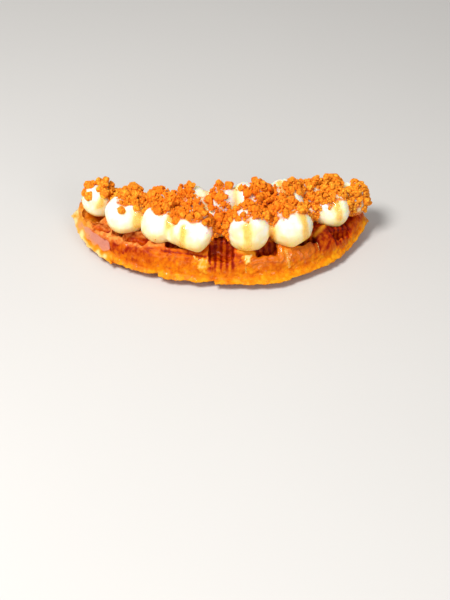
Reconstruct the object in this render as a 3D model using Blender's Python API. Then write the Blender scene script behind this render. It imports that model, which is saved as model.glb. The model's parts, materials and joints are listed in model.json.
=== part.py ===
"""Croffle: a crescent of croissant dough pressed in a waffle iron, under piped cream and biscuit crumbs.

Lengths are in metres and +Z is up.  The origin is under the middle of the croffle, on the surface that
it rests on.  The crescent's spine is an arc about a vertical axis behind it, so the bulging side faces -Y
and the tips point along -X and +X.  A place on it is given by its turn along the arc, its distance out
from the spine and its height.
"""

import math
import random

import bpy
import bmesh
from mathutils import Matrix, Vector, noise

MM = 0.001
SEED = 68

# Crescent seen from above
SPINE_RADIUS = 93.7 * MM
SPINE_MIDDLE_X = -0.4 * MM
SPINE_MIDDLE_Y = -7.2 * MM
LEFT_TIP_TURN = math.radians(49.5)
RIGHT_TIP_TURN = math.radians(51.0)
HALF_WIDTH = 24.8 * MM
LEFT_BLUNTNESS = 2.6
RIGHT_BLUNTNESS = 2.1

# Height of the dough
MIDDLE_THICKNESS = 18.6 * MM
LEFT_TIP_THICKNESS = 9.0 * MM
RIGHT_TIP_THICKNESS = 7.0 * MM
TIP_LIFT = 4.5 * MM
LIFT_START = 0.72

# Pressed rim: a thin lip that runs round the edge, a little above the base
RIM_HEIGHT = 4.2 * MM
RIM_REACH = 3.0 * MM
RIM_THICKNESS = 1.5 * MM
UNDERCUT = 5.5 * MM
RIM_RIPPLE = 0.8 * MM
RIPPLES_ALONG = 15.0
SHOULDER = 0.5
TIP_RIM_SHARE = 0.5
SLIM_WIDTH = 0.5 * HALF_WIDTH
# Turns the section's points towards its rim, where the shape is finest
EVENING = 0.35
# Share of the lower half of the section over which it draws in from the rim to the base
UNDERCUT_END = 0.45
FLAKE_RELIEF = 0.7 * MM
FLAKES_ALONG = 16.0
FLAKES_UP = 3.0

# Where one lap of dough ends at the front rim: place along the spine, and how far it draws in, or
# stands out where that is negative
LAPS = ((-0.54, -2.0 * MM), (-0.30, 2.5 * MM), (-0.01, 2.8 * MM))
LAP_RUN = 0.06
# Broad swells of the front rim: place along the spine, distance out, spread
SWELLS = (
    (-0.99, 7.0 * MM, 0.035),
    (0.27, 2.7 * MM, 0.14),
    (0.79, -1.8 * MM, 0.12),
    (0.975, 5.0 * MM, 0.03),
)

# Ripples of the back rim
BACK_RIPPLE = 1.6 * MM
BACK_RIPPLES_ALONG = 4.0

# Waffle pockets, in columns along the arc and rows across it
POCKET_PITCH_TURN = math.radians(11.8)
FIRST_POCKET_TURN = math.radians(-46.4)
POCKET_WIDTH = 13.0 * MM
POCKET_ROW_PITCH = 18.5 * MM
POCKET_ROW_SHIFT = -3.5 * MM
POCKET_DEPTH = 7.4 * MM
POCKET_TAPER = 0.80
# Share of the height from mouth to floor by which the floor rises at the front
FLOOR_RISE = 0.24
LEAST_POCKET = 4.5 * MM
UNDERSIDE_POCKET_DEPTH = 4.0 * MM
UNDERSIDE_MARGIN = 9.0 * MM
BACK_POCKET_MARGIN = 3.2 * MM
# For each column, the distance from the front rim to its front pocket and the depth of that pocket
FRONT_POCKETS = (
    (4.5 * MM, 4.5 * MM),
    (5.8 * MM, 4.5 * MM),
    (6.5 * MM, 5.5 * MM),
    (9.5 * MM, 5.5 * MM),
    (2.8 * MM, 7.4 * MM),
    (5.8 * MM, 7.4 * MM),
    (8.5 * MM, 7.4 * MM),
    (4.0 * MM, 7.4 * MM),
)
# Hollows of the left shoulder: turn in degrees, inner and outer distance out, width, depth
SHOULDER_HOLLOWS = (
    (-40.5, -1.5 * MM, 10.5 * MM, 13.0 * MM, 5.5 * MM),
    (-28.7, 8.5 * MM, 14.0 * MM, 8.0 * MM, 4.5 * MM),
)

# Piped dollops: turn along the arc in degrees, distance out, radius
FRONT_DOLLOPS = (
    (-40.5, 0.0 * MM, 8.8 * MM),
    (-27.8, 5.2 * MM, 10.0 * MM),
    (-16.6, 7.2 * MM, 9.6 * MM),
    (-7.1, 10.0 * MM, 10.6 * MM),
    (8.1, 8.0 * MM, 11.3 * MM),
    (20.1, 7.6 * MM, 11.3 * MM),
    (37.3, -0.2 * MM, 9.8 * MM),
)
BACK_DOLLOPS = (
    (-31.0, -6.0 * MM, 8.0 * MM),
    (-20.0, -7.0 * MM, 8.3 * MM),
    (-9.5, -10.5 * MM, 10.6 * MM),
    (0.8, -11.5 * MM, 10.8 * MM),
    (10.8, -13.5 * MM, 11.3 * MM),
    (23.5, -12.0 * MM, 11.0 * MM),
    (33.5, -11.0 * MM, 9.6 * MM),
    (40.0, -8.0 * MM, 11.0 * MM),
    (46.5, -1.0 * MM, 9.3 * MM),
)
# Cream that runs two dollops together
MERGING_DOLLOPS = ((-11.8, 8.0 * MM, 8.2 * MM),)
DOLLOP_LIFT = 0.62
DOLLOP_SQUASH = 0.96
DOLLOP_UNEVENNESS = 0.10
UNEVENNESS_SCALE = 1.1
ROW_BLEND = math.radians(9.0)
LEAST_WEIGHT = 1.0e-6
BED_HALF_WIDTH = 10.0 * MM
BED_DEPTH = 5.0 * MM
BED_LIFT = 3.5 * MM

# Biscuit crumbs, piled on the cream between the two rows and down their facing sides
CRUMB_COUNT = 110
CRUMB_RADIUS = 2.0 * MM
CRUMB_SPREAD = 0.22
LEAST_CRUMB = 1.2 * MM
# Size of the cube that a crumb starts as, for a radius of 1, and how its corners move
CRUMB_CUBE = 1.45
CORNER_LOW = 0.82
CORNER_HIGH = 1.08
CRUMB_SINK = 0.30
# Share of a crumb's rounded top that another crumb comes to rest on
CRUMB_REST = 0.8
CRUMB_FIRST_TURN = math.radians(-46.5)
CRUMB_LAST_TURN = math.radians(47.5)
CRUMB_BAND_FRONT = 15.0 * MM
CRUMB_BAND_BACK = 14.0 * MM
PILE_HEIGHT = 1.5 * MM
CRUMB_TRIES = 6000
# Higher heaps: turn in degrees, distance out, spread, height
HEAPS = (
    (36.5, -4.0 * MM, 7.0 * MM, 4.0 * MM),
    (46.0, 2.0 * MM, 6.0 * MM, 2.5 * MM),
    (-40.5, 1.0 * MM, 6.0 * MM, 3.0 * MM),
    (15.0, -8.0 * MM, 8.0 * MM, 2.0 * MM),
    (-14.0, 1.0 * MM, 9.0 * MM, 2.0 * MM),
)
# Places that the crumbs missed: turn in degrees, distance out, radius
BARE_SPOTS = (
    (5.0, -8.0 * MM, 6.0 * MM),
    (-6.0, -14.0 * MM, 7.0 * MM),
    (22.0, -17.0 * MM, 6.0 * MM),
    (8.0, -17.0 * MM, 6.0 * MM),
    (4.5, 1.0 * MM, 3.5 * MM),
    (6.0, 9.0 * MM, 3.0 * MM),
    (-32.5, 10.0 * MM, 6.0 * MM),
    (-24.5, 12.0 * MM, 4.5 * MM),
    (-21.0, 10.5 * MM, 4.5 * MM),
    (-13.7, 12.5 * MM, 3.0 * MM),
    (32.0, 5.5 * MM, 4.0 * MM),
)

# Mesh fineness and the gap between touching pieces
STATIONS_ALONG = 56
POINTS_ROUND = 32
POLE_SPREAD = 0.7
BED_STATIONS = 24
BED_POINTS = 12
BED_REACH = 0.9
DOLLOP_SEGMENTS = 14
DOLLOP_RINGS = 9
GAP = 0.3 * MM
WELD = 0.001 * MM
SHARP_ANGLE = math.radians(35.0)
FLAT_ANGLE = math.radians(0.5)


def bump(value, centre, spread):
    """Bell curve with a height of 1."""
    return math.exp(-((value - centre) / spread) ** 2)


def smoothstep(value):
    """Smooth rise from 0 to 1 as the value goes from 0 to 1."""
    value = min(1.0, max(0.0, value))
    return value * value * (3.0 - 2.0 * value)


def place(turn, out, height):
    """Point at a turn along the arc, a distance out from the spine and a height."""
    radius = SPINE_RADIUS + out
    x = SPINE_MIDDLE_X + radius * math.sin(turn)
    y = SPINE_MIDDLE_Y + SPINE_RADIUS - radius * math.cos(turn)
    return Vector((x, y, height))


def along_spine(turn):
    """Place along the spine, from -1 at the left tip to 1 at the right tip, of a turn along the arc."""
    return turn / (LEFT_TIP_TURN if turn < 0.0 else RIGHT_TIP_TURN)


def turn_at(along):
    """Turn along the arc of a place along the spine."""
    return along * (LEFT_TIP_TURN if along < 0.0 else RIGHT_TIP_TURN)


def half_width(along):
    """Half of the crescent's width at a place from -1 at the left tip to 1 at the right tip."""
    bluntness = LEFT_BLUNTNESS if along < 0.0 else RIGHT_BLUNTNESS
    return HALF_WIDTH * math.sqrt(max(0.0, 1.0 - abs(along) ** bluntness))


def rim_offset(along, front):
    """How far the rim stands out from the even outline, from its laps, swells and ripples."""
    side = 1.0 if front else -1.0
    offset = RIM_RIPPLE * noise.noise(Vector((along * RIPPLES_ALONG, 3.0 * side, 0.0)))
    if not front:
        return offset + BACK_RIPPLE * noise.noise(Vector((along * BACK_RIPPLES_ALONG, -7.0, 0.0)))
    for start, depth in LAPS:
        if along < start:
            offset -= depth * math.exp((along - start) / LAP_RUN)
    for centre, height, spread in SWELLS:
        offset += height * bump(along, centre, spread)
    return offset


def base_height(along):
    """Height of the underside: flat along the middle and lifted at the tips."""
    return TIP_LIFT * smoothstep((abs(along) - LIFT_START) / (1.0 - LIFT_START))


def crown_height(along):
    """Height of the top of the dough over the spine."""
    tip = LEFT_TIP_THICKNESS if along < 0.0 else RIGHT_TIP_THICKNESS
    return base_height(along) + tip + (MIDDLE_THICKNESS - tip) * (1.0 - abs(along) ** 3)


def section(along, angle):
    """Distance out and height of the dough's section: angle 0 is the front rim and 90 degrees the crown."""
    angle -= EVENING * math.sin(2.0 * angle)
    across, up = math.cos(angle), math.sin(angle)
    front = across > 0.0
    width = half_width(along)
    slim = min(1.0, width / SLIM_WIDTH)
    base = base_height(along)
    rim = base + RIM_HEIGHT * (TIP_RIM_SHARE + (1.0 - TIP_RIM_SHARE) * slim)
    reach = RIM_REACH * slim
    out = (width - reach) * abs(across) ** SHOULDER
    if up >= 0.0:
        height = rim + (crown_height(along) - rim) * up
    else:
        drop = min(1.0, -up / UNDERCUT_END)
        out -= UNDERCUT * slim * drop * abs(across)
        height = rim - (rim - base) * drop
    out += (reach + slim * rim_offset(along, front)) * bump(height, rim, RIM_THICKNESS)
    flakes = noise.noise(Vector((along * FLAKES_ALONG, up * FLAKES_UP, 5.0 if front else 9.0)))
    out += FLAKE_RELIEF * slim * flakes * abs(across) * max(0.0, up)
    return math.copysign(max(0.0, out), across), height


def new_collection(name):
    """Collection linked to the scene."""
    collection = bpy.data.collections.new(name)
    bpy.context.scene.collection.children.link(collection)
    return collection


def new_material(name, colour, roughness):
    """Principled material with one colour, which the solid view shows too."""
    material = bpy.data.materials.new(name)
    material.use_nodes = True
    shader = material.node_tree.nodes["Principled BSDF"]
    shader.inputs["Base Color"].default_value = (*colour, 1.0)
    shader.inputs["Roughness"].default_value = roughness
    shader.inputs["Metallic"].default_value = 0.0
    material.diffuse_color = (*colour, 1.0)
    return material


def dress(item, material):
    """Give an object its one material, and shade its round faces smooth."""
    item.data.materials.clear()
    item.data.materials.append(material)
    item.data.shade_smooth()
    item.data.set_sharp_from_angle(angle=SHARP_ANGLE)


def new_object(name, bm, collection):
    """Mesh object made from a closed bmesh, with its faces pointing out."""
    mesh = bpy.data.meshes.new(name)
    if bm.calc_volume(signed=True) < 0.0:
        bmesh.ops.reverse_faces(bm, faces=bm.faces)
    bm.to_mesh(mesh)
    bm.free()
    item = bpy.data.objects.new(name, mesh)
    collection.objects.link(item)
    return item


def as_cutter(item):
    """Show an object as a cutter: in wire and never rendered."""
    item.hide_render = True
    item.display_type = "WIRE"
    return item


def apply_boolean(item, operation, solver, operand=None, collection=None):
    """Join or cut an object with another object or with a collection, and apply it."""
    modifier = item.modifiers.new(operation.title(), "BOOLEAN")
    modifier.operation = operation
    modifier.solver = solver
    if collection is None:
        modifier.object = operand
    else:
        modifier.operand_type = "COLLECTION"
        modifier.collection = collection
    bpy.context.view_layer.objects.active = item
    with bpy.context.temp_override(object=item, active_object=item, selected_objects=[item]):
        bpy.ops.object.modifier_apply(modifier=modifier.name)


def remove_objects(collection):
    """Remove a collection's objects with their meshes, and the collection."""
    for item in list(collection.objects):
        mesh = item.data
        bpy.data.objects.remove(item)
        bpy.data.meshes.remove(mesh)
    bpy.data.collections.remove(collection)


def keep_largest_body(item):
    """Keep the outer skin of the largest body: sealed hollows are filled and loose scraps dropped."""
    bm = bmesh.new()
    bm.from_mesh(item.data)
    bmesh.ops.remove_doubles(bm, verts=bm.verts, dist=WELD)
    bmesh.ops.dissolve_limit(bm, angle_limit=FLAT_ANGLE, verts=bm.verts, edges=bm.edges)
    bmesh.ops.triangulate(bm, faces=bm.faces)
    unseen = set(bm.faces)
    bodies = []
    while unseen:
        stack = [unseen.pop()]
        body = set(stack)
        while stack:
            for edge in stack.pop().edges:
                for face in edge.link_faces:
                    if face in unseen:
                        unseen.discard(face)
                        body.add(face)
                        stack.append(face)
        bodies.append(body)
    bodies.sort(key=len)
    scraps = [face for body in bodies[:-1] for face in body]
    bmesh.ops.delete(bm, geom=scraps, context="FACES")
    bm.to_mesh(item.data)
    bm.free()


def dough_body(name, collection):
    """Whole crescent of dough, before the pockets: a sphere whose poles become the two tips."""
    bm = bmesh.new()
    bmesh.ops.create_uvsphere(bm, u_segments=POINTS_ROUND, v_segments=STATIONS_ALONG, radius=1.0)
    for vert in bm.verts:
        latitude = math.asin(max(-1.0, min(1.0, vert.co.z)))
        along = math.sin(POLE_SPREAD * latitude) / math.sin(POLE_SPREAD * math.pi / 2.0)
        angle = math.atan2(vert.co.y, vert.co.x)
        out, height = section(along, angle)
        vert.co = place(turn_at(along), out, height)
    return new_object(name, bm, collection)


def add_peg(name, turn, span, width, mouth, floor, collection):
    """Tapered peg of the iron that presses one pocket, with a floor that rises to the front."""
    bm = bmesh.new()
    bmesh.ops.create_cube(bm, size=1.0)
    inner, outer = span
    for vert in bm.verts:
        at_floor = (vert.co.z > 0.0) == (floor > mouth)
        shrink = POCKET_TAPER if at_floor else 1.0
        out = (inner + outer) / 2.0 + vert.co.y * (outer - inner) * shrink
        height = mouth
        if at_floor:
            height = floor + (FLOOR_RISE * (mouth - floor) if vert.co.y > 0.0 else 0.0)
        vert.co = Vector((vert.co.x * width * shrink, -out, height))
    swing = Matrix.Rotation(turn, 3, "Z")
    bmesh.ops.rotate(bm, verts=bm.verts, cent=Vector((0.0, SPINE_RADIUS, 0.0)), matrix=swing)
    bmesh.ops.translate(bm, verts=bm.verts, vec=Vector((SPINE_MIDDLE_X, SPINE_MIDDLE_Y, 0.0)))
    return as_cutter(new_object(name, bm, collection))


def press_pockets(collection):
    """Pegs for the pockets of both faces, in three rows along the crescent."""
    for column, (front_margin, front_depth) in enumerate(FRONT_POCKETS):
        turn = FIRST_POCKET_TURN + column * POCKET_PITCH_TURN
        along = along_spine(turn)
        width = half_width(along)
        crown = crown_height(along)
        for row in (-1, 0, 1):
            middle = POCKET_ROW_SHIFT + row * POCKET_ROW_PITCH
            start, end = middle - POCKET_WIDTH / 2.0, middle + POCKET_WIDTH / 2.0
            span = (max(start, BACK_POCKET_MARGIN - width), min(end, width - front_margin))
            depth = front_depth if row == 1 else POCKET_DEPTH
            if span[1] - span[0] > LEAST_POCKET:
                mouth, floor = crown + POCKET_DEPTH, crown - depth
                add_peg(f"top_peg_{column}_{row}", turn, span, POCKET_WIDTH, mouth, floor, collection)
            span = (max(start, UNDERSIDE_MARGIN - width), min(end, width - UNDERSIDE_MARGIN))
            if span[1] - span[0] > LEAST_POCKET and base_height(along) <= 0.0:
                mouth, floor = -POCKET_DEPTH, UNDERSIDE_POCKET_DEPTH
                add_peg(f"under_peg_{column}_{row}", turn, span, POCKET_WIDTH, mouth, floor, collection)
    for index, (degrees, inner, outer, width, depth) in enumerate(SHOULDER_HOLLOWS):
        turn = math.radians(degrees)
        crown = crown_height(along_spine(turn))
        add_peg(f"hollow_{index}", turn, (inner, outer), width, crown + depth, crown - depth, collection)


def make_pastry(parts, material):
    """Dough with the pockets pressed into its top and underside."""
    pastry = dough_body("pastry", parts)
    cutters = new_collection("waffle iron")
    press_pockets(cutters)
    apply_boolean(pastry, "DIFFERENCE", "EXACT", collection=cutters)
    keep_largest_body(pastry)
    dress(pastry, material)
    remove_objects(cutters)
    return pastry


def dollops():
    """Centre and radius of each piped dollop, and last of the cream that runs two together."""
    found = []
    for degrees, out, radius in FRONT_DOLLOPS + BACK_DOLLOPS + MERGING_DOLLOPS:
        turn = math.radians(degrees)
        crown = crown_height(along_spine(turn))
        found.append((place(turn, out, crown + DOLLOP_LIFT * radius), radius))
    return found


def dollop(name, centre, radius, collection):
    """Round dollop, a little squashed, with an uneven skin."""
    bm = bmesh.new()
    bmesh.ops.create_uvsphere(bm, u_segments=DOLLOP_SEGMENTS, v_segments=DOLLOP_RINGS, radius=radius)
    for vert in bm.verts:
        uneven = 1.0 + DOLLOP_UNEVENNESS * noise.noise(UNEVENNESS_SCALE * vert.co / radius + centre / MM)
        vert.co = centre + Vector((vert.co.x, vert.co.y, vert.co.z * DOLLOP_SQUASH)) * uneven
    return new_object(name, bm, collection)


def middle_line(turn):
    """Distance out of the line midway between the two rows of dollops."""
    total = 0.0
    for row in (FRONT_DOLLOPS, BACK_DOLLOPS):
        weights = [bump(turn, math.radians(degrees), ROW_BLEND) + LEAST_WEIGHT for degrees, _, _ in row]
        total += sum(weight * out for weight, (_, out, _) in zip(weights, row)) / sum(weights)
    return total / 2.0


def bed_height(turn):
    """Height of the middle of the cream between the rows."""
    return crown_height(along_spine(turn)) + BED_LIFT


def cream_bed(collection):
    """Cream that joins the dollops between the rows: a low crescent along their middle line."""
    bm = bmesh.new()
    bmesh.ops.create_uvsphere(bm, u_segments=BED_POINTS, v_segments=BED_STATIONS, radius=1.0)
    first = math.radians(FRONT_DOLLOPS[0][0])
    last = math.radians(FRONT_DOLLOPS[-1][0])
    for vert in bm.verts:
        turn = first + (last - first) * 0.5 * (1.0 + vert.co.z)
        out = middle_line(turn) + BED_HALF_WIDTH * vert.co.x
        vert.co = place(turn, out, bed_height(turn) + BED_DEPTH * vert.co.y)
    return new_object("bed", bm, collection)


def cream_height(turn, out, centres):
    """Height of the top of the cream at a place seen from above, or None where there is none."""
    spot = place(turn, out, 0.0)
    found = []
    for centre, radius in centres:
        room = radius ** 2 - (spot.x - centre.x) ** 2 - (spot.y - centre.y) ** 2
        if room > 0.0:
            found.append(centre.z + DOLLOP_SQUASH * math.sqrt(room))
    off_middle = (out - middle_line(turn)) / BED_HALF_WIDTH
    if abs(off_middle) < BED_REACH:
        found.append(bed_height(turn) + BED_DEPTH * math.sqrt(1.0 - off_middle ** 2))
    return max(found, default=None)


def top_of(crumbs, spot, low):
    """Height of the top of the crumbs under a place, or the low height where there are none."""
    top = low
    for centre, radius in crumbs:
        room = radius ** 2 - (centre.x - spot.x) ** 2 - (centre.y - spot.y) ** 2
        if room > 0.0:
            top = max(top, centre.z + CRUMB_REST * math.sqrt(room))
    return top


def pile_limit(spot):
    """How high crumbs may pile over the cream at a place."""
    limit = PILE_HEIGHT
    for degrees, out, spread, height in HEAPS:
        limit += height * bump((spot - place(math.radians(degrees), out, 0.0)).length, 0.0, spread)
    return limit


def is_bare(spot):
    """Whether the crumbs missed a place."""
    for degrees, out, radius in BARE_SPOTS:
        if (spot - place(math.radians(degrees), out, 0.0)).length < radius:
            return True
    return False


def crumb_radii(draw):
    """Radii of the crumbs, largest first."""
    spread = [math.exp(draw.gauss(0.0, CRUMB_SPREAD)) for _ in range(CRUMB_COUNT)]
    return sorted((max(LEAST_CRUMB, CRUMB_RADIUS * size) for size in spread), reverse=True)


def crumb_places(centres):
    """Seeded centres and radii of the crumbs, largest first, each at rest on what lies under it."""
    draw = random.Random(SEED)
    radii = crumb_radii(draw)
    kept = []
    for _ in range(CRUMB_TRIES):
        if len(kept) == len(radii):
            break
        turn = draw.uniform(CRUMB_FIRST_TURN, CRUMB_LAST_TURN)
        out = middle_line(turn) + draw.uniform(-CRUMB_BAND_BACK, CRUMB_BAND_FRONT)
        spot = place(turn, out, 0.0)
        cream = cream_height(turn, out, centres)
        if cream is None or is_bare(spot):
            continue
        top = top_of(kept, spot, cream)
        if top - cream <= pile_limit(spot):
            radius = radii[len(kept)]
            spot.z = top + (1.0 - 2.0 * CRUMB_SINK) * radius
            kept.append((spot, radius))
    return kept


def crumb(name, centre, radius, draw, collection):
    """Angular biscuit crumb: a cube of its size, turned at random, with uneven corners."""
    bm = bmesh.new()
    bmesh.ops.create_cube(bm, size=CRUMB_CUBE * radius)
    axis = Vector((draw.gauss(0.0, 1.0), draw.gauss(0.0, 1.0), draw.gauss(0.0, 1.0)))
    turned = Matrix.Rotation(draw.uniform(0.0, math.tau), 3, axis)
    for vert in bm.verts:
        vert.co = centre + turned @ (vert.co * draw.uniform(CORNER_LOW, CORNER_HIGH))
    bmesh.ops.triangulate(bm, faces=bm.faces)
    return new_object(name, bm, collection)


def make_cream(parts, material):
    """Dollops, the cream between them and the crumbs on them, as one body that sits on the dough."""
    pieces = new_collection("cream pieces")
    centres = dollops()
    bed = cream_bed(parts)
    for index, (centre, radius) in enumerate(centres):
        dollop(f"dollop_{index}", centre, radius, pieces)
    draw = random.Random(SEED + 1)
    for index, (centre, radius) in enumerate(crumb_places(centres)):
        crumb(f"crumb_{index}", centre, radius, draw, pieces)
    apply_boolean(bed, "UNION", "MANIFOLD", collection=pieces)
    remove_objects(pieces)
    keep_largest_body(bed)
    cutters = new_collection("seat")
    seat = as_cutter(dough_body("seat", cutters))
    swell = seat.modifiers.new("Gap", "DISPLACE")
    swell.strength = GAP
    swell.mid_level = 0.0
    apply_boolean(bed, "DIFFERENCE", "EXACT", operand=seat)
    remove_objects(cutters)
    keep_largest_body(bed)
    bed.name = "cream"
    bed.data.name = "cream"
    dress(bed, material)
    return bed


def main():
    """Build the croffle."""
    for item in list(bpy.data.objects):
        bpy.data.objects.remove(item)
    parts = new_collection("croffle")
    crust = new_material("baked crust", (0.62, 0.20, 0.03), 0.35)
    whipped = new_material("whipped cream", (0.95, 0.88, 0.70), 0.5)
    make_pastry(parts, crust)
    make_cream(parts, whipped)


main()
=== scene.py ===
# %% [markdown]
# # A croffle with piped cream, biscuit crumbs and caramel
#
# A croffle is croissant dough pressed in a waffle iron.  This one keeps the croissant's crescent: it has
# a glazed orange crust with dark toasted pockets, a thin ragged rim where the iron squeezed the dough, two
# rows of piped cream, a scatter of crushed biscuit and a little caramel.
#
# The solid model is loaded first as a fixed frame.  Every piece below is modelled in its place and rides
# on the frame's one body.

import json
import math
import random
from types import SimpleNamespace

import bpy
from mathutils import Matrix, Vector, noise

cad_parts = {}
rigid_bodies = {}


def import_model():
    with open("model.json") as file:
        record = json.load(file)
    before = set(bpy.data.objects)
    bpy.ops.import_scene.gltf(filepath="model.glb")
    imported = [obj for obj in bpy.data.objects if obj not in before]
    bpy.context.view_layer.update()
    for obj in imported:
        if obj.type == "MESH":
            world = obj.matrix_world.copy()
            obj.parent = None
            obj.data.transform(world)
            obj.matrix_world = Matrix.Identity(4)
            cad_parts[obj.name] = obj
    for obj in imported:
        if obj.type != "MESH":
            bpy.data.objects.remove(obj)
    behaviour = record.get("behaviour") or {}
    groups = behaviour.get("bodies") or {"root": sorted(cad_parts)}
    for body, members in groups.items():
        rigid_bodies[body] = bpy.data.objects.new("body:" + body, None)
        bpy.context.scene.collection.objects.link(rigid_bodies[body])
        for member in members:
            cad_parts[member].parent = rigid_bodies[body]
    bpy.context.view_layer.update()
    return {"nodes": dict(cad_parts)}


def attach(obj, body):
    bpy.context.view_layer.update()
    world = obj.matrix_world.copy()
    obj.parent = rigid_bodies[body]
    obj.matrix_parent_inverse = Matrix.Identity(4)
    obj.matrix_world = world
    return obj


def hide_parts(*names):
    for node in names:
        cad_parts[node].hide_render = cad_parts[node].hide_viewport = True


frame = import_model()
MM = 0.001
print("nodes:", sorted(frame["nodes"]))

# %% [markdown]
# ## Where a place on the crescent is
#
# The crescent's spine is an arc about a vertical axis behind the croffle, so the natural way to name a
# place is by its turn along the arc, its distance out from the spine and its height.  The numbers are the
# solid model's own, so what is modelled from them fits it.

# %% The crescent's own coordinates
SPINE_RADIUS = 93.7 * MM
SPINE_MIDDLE = Vector((-0.4 * MM, -7.2 * MM, 0.0))
LEFT_TIP_TURN = math.radians(49.5)
RIGHT_TIP_TURN = math.radians(51.0)
SPINE_CENTRE = SPINE_MIDDLE + Vector((0.0, SPINE_RADIUS, 0.0))


def place(turn, out, height):
    """Point at a turn along the arc, a distance out from the spine and a height."""
    radius = SPINE_RADIUS + out
    x = SPINE_CENTRE.x + radius * math.sin(turn)
    y = SPINE_CENTRE.y - radius * math.cos(turn)
    return Vector((x, y, height))


def turn_and_out(point):
    """Turn along the arc and distance out from the spine of a point."""
    x, y = point.x - SPINE_CENTRE.x, SPINE_CENTRE.y - point.y
    return math.atan2(x, y), math.hypot(x, y) - SPINE_RADIUS


def along_spine(turn):
    """Place along the spine, from -1 at the left tip to 1 at the right tip, of a turn along the arc."""
    return turn / (LEFT_TIP_TURN if turn < 0.0 else RIGHT_TIP_TURN)


def turn_at(along):
    """Turn along the arc of a place along the spine."""
    return along * (LEFT_TIP_TURN if along < 0.0 else RIGHT_TIP_TURN)


def bump(value, centre, spread):
    """Bell curve with a height of 1."""
    return math.exp(-((value - centre) / spread) ** 2)


def smoothstep(low, high, value):
    """Smooth rise from 0 at low to 1 at high."""
    value = min(1.0, max(0.0, (value - low) / (high - low)))
    return value * value * (3.0 - 2.0 * value)


def rough(point, size, seed):
    """Noise from about -1 to 1 at a point, with features of one size."""
    return noise.noise(Vector(point) / size + Vector((seed, 1.7 * seed, -seed)))


print("the spine turns through", round(math.degrees(LEFT_TIP_TURN + RIGHT_TIP_TURN)), "degrees")

# %% [markdown]
# ## The dough's section
#
# Cut across anywhere, the dough is a low dome on a flat base, with a thin lip that runs round it a little
# above the base.  The dome narrows and thins towards the tips.  Writing the section as a function of the
# place along the spine and of an angle round it lets one sphere be wrapped into the whole crescent: its
# poles become the tips.  The front rim has the steps where one lap of dough ends and the next begins.  Each
# lap has its place along the spine and its depth, and each swell its place, its height and its spread.

# %% Sizes of the dough
HALF_WIDTH = 24.8 * MM
LEFT_BLUNTNESS = 2.6
RIGHT_BLUNTNESS = 2.1
MIDDLE_THICKNESS = 18.6 * MM
LEFT_TIP_THICKNESS = 9.0 * MM
RIGHT_TIP_THICKNESS = 7.0 * MM
TIP_LIFT = 4.5 * MM
LIFT_START = 0.72
RIM_HEIGHT = 4.2 * MM
RIM_REACH = 3.0 * MM
RIM_THICKNESS = 1.5 * MM
UNDERCUT = 5.5 * MM
RIM_RIPPLE = 0.8 * MM
RIPPLES_ALONG = 15.0
BACK_RIPPLE = 1.6 * MM
BACK_RIPPLES_ALONG = 4.0
SHOULDER = 0.5
EVENING = 0.35
TIP_RIM_SHARE = 0.5
SLIM_WIDTH = 0.5 * HALF_WIDTH
UNDERCUT_END = 0.45
FLAKE_RELIEF = 0.7 * MM
FLAKES_ALONG = 16.0
FLAKES_UP = 3.0
LAPS = ((-0.54, -2.0 * MM), (-0.30, 2.5 * MM), (-0.01, 2.8 * MM))
LAP_RUN = 0.06
SWELLS = (
    (-0.99, 7.0 * MM, 0.035),
    (0.27, 2.7 * MM, 0.14),
    (0.79, -1.8 * MM, 0.12),
    (0.975, 5.0 * MM, 0.03),
)
print("widest part of the dough, mm:", round(2.0 * HALF_WIDTH / MM, 1))

# %% Widths and heights along the spine


def half_width(along):
    """Half of the crescent's width at a place along the spine."""
    bluntness = LEFT_BLUNTNESS if along < 0.0 else RIGHT_BLUNTNESS
    return HALF_WIDTH * math.sqrt(max(0.0, 1.0 - abs(along) ** bluntness))


def rim_offset(along, front):
    """How far the rim stands out from the even outline, from its laps, swells and ripples."""
    side = 1.0 if front else -1.0
    offset = RIM_RIPPLE * noise.noise(Vector((along * RIPPLES_ALONG, 3.0 * side, 0.0)))
    if not front:
        return offset + BACK_RIPPLE * noise.noise(Vector((along * BACK_RIPPLES_ALONG, -7.0, 0.0)))
    for start, depth in LAPS:
        if along < start:
            offset -= depth * math.exp((along - start) / LAP_RUN)
    for centre, height, spread in SWELLS:
        offset += height * bump(along, centre, spread)
    return offset


def base_height(along):
    """Height of the underside: flat along the middle and lifted at the tips."""
    return TIP_LIFT * smoothstep(LIFT_START, 1.0, abs(along))


def crown_height(along):
    """Height of the top of the dough over the spine."""
    tip = LEFT_TIP_THICKNESS if along < 0.0 else RIGHT_TIP_THICKNESS
    return base_height(along) + tip + (MIDDLE_THICKNESS - tip) * (1.0 - abs(along) ** 3)


def slimness(along):
    """How fully the section has its middle shape, from 0 at a tip to 1."""
    return min(1.0, half_width(along) / SLIM_WIDTH)


def rim_height(along):
    """Height of the lip over the ground."""
    return base_height(along) + RIM_HEIGHT * (TIP_RIM_SHARE + (1.0 - TIP_RIM_SHARE) * slimness(along))


# %% The section itself


def section(along, angle):
    """Distance out and height of the dough's section: angle 0 is the front rim and 90 degrees the crown."""
    angle -= EVENING * math.sin(2.0 * angle)
    across, up = math.cos(angle), math.sin(angle)
    front = across > 0.0
    slim, base, rim = slimness(along), base_height(along), rim_height(along)
    reach = RIM_REACH * slim
    out = (half_width(along) - reach) * abs(across) ** SHOULDER
    if up >= 0.0:
        height = rim + (crown_height(along) - rim) * up
    else:
        drop = min(1.0, -up / UNDERCUT_END)
        out -= UNDERCUT * slim * drop * abs(across)
        height = rim - (rim - base) * drop
    out += (reach + slim * rim_offset(along, front)) * bump(height, rim, RIM_THICKNESS)
    flakes = noise.noise(Vector((along * FLAKES_ALONG, up * FLAKES_UP, 5.0 if front else 9.0)))
    out += FLAKE_RELIEF * slim * flakes * abs(across) * max(0.0, up)
    return math.copysign(max(0.0, out), across), height


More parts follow.
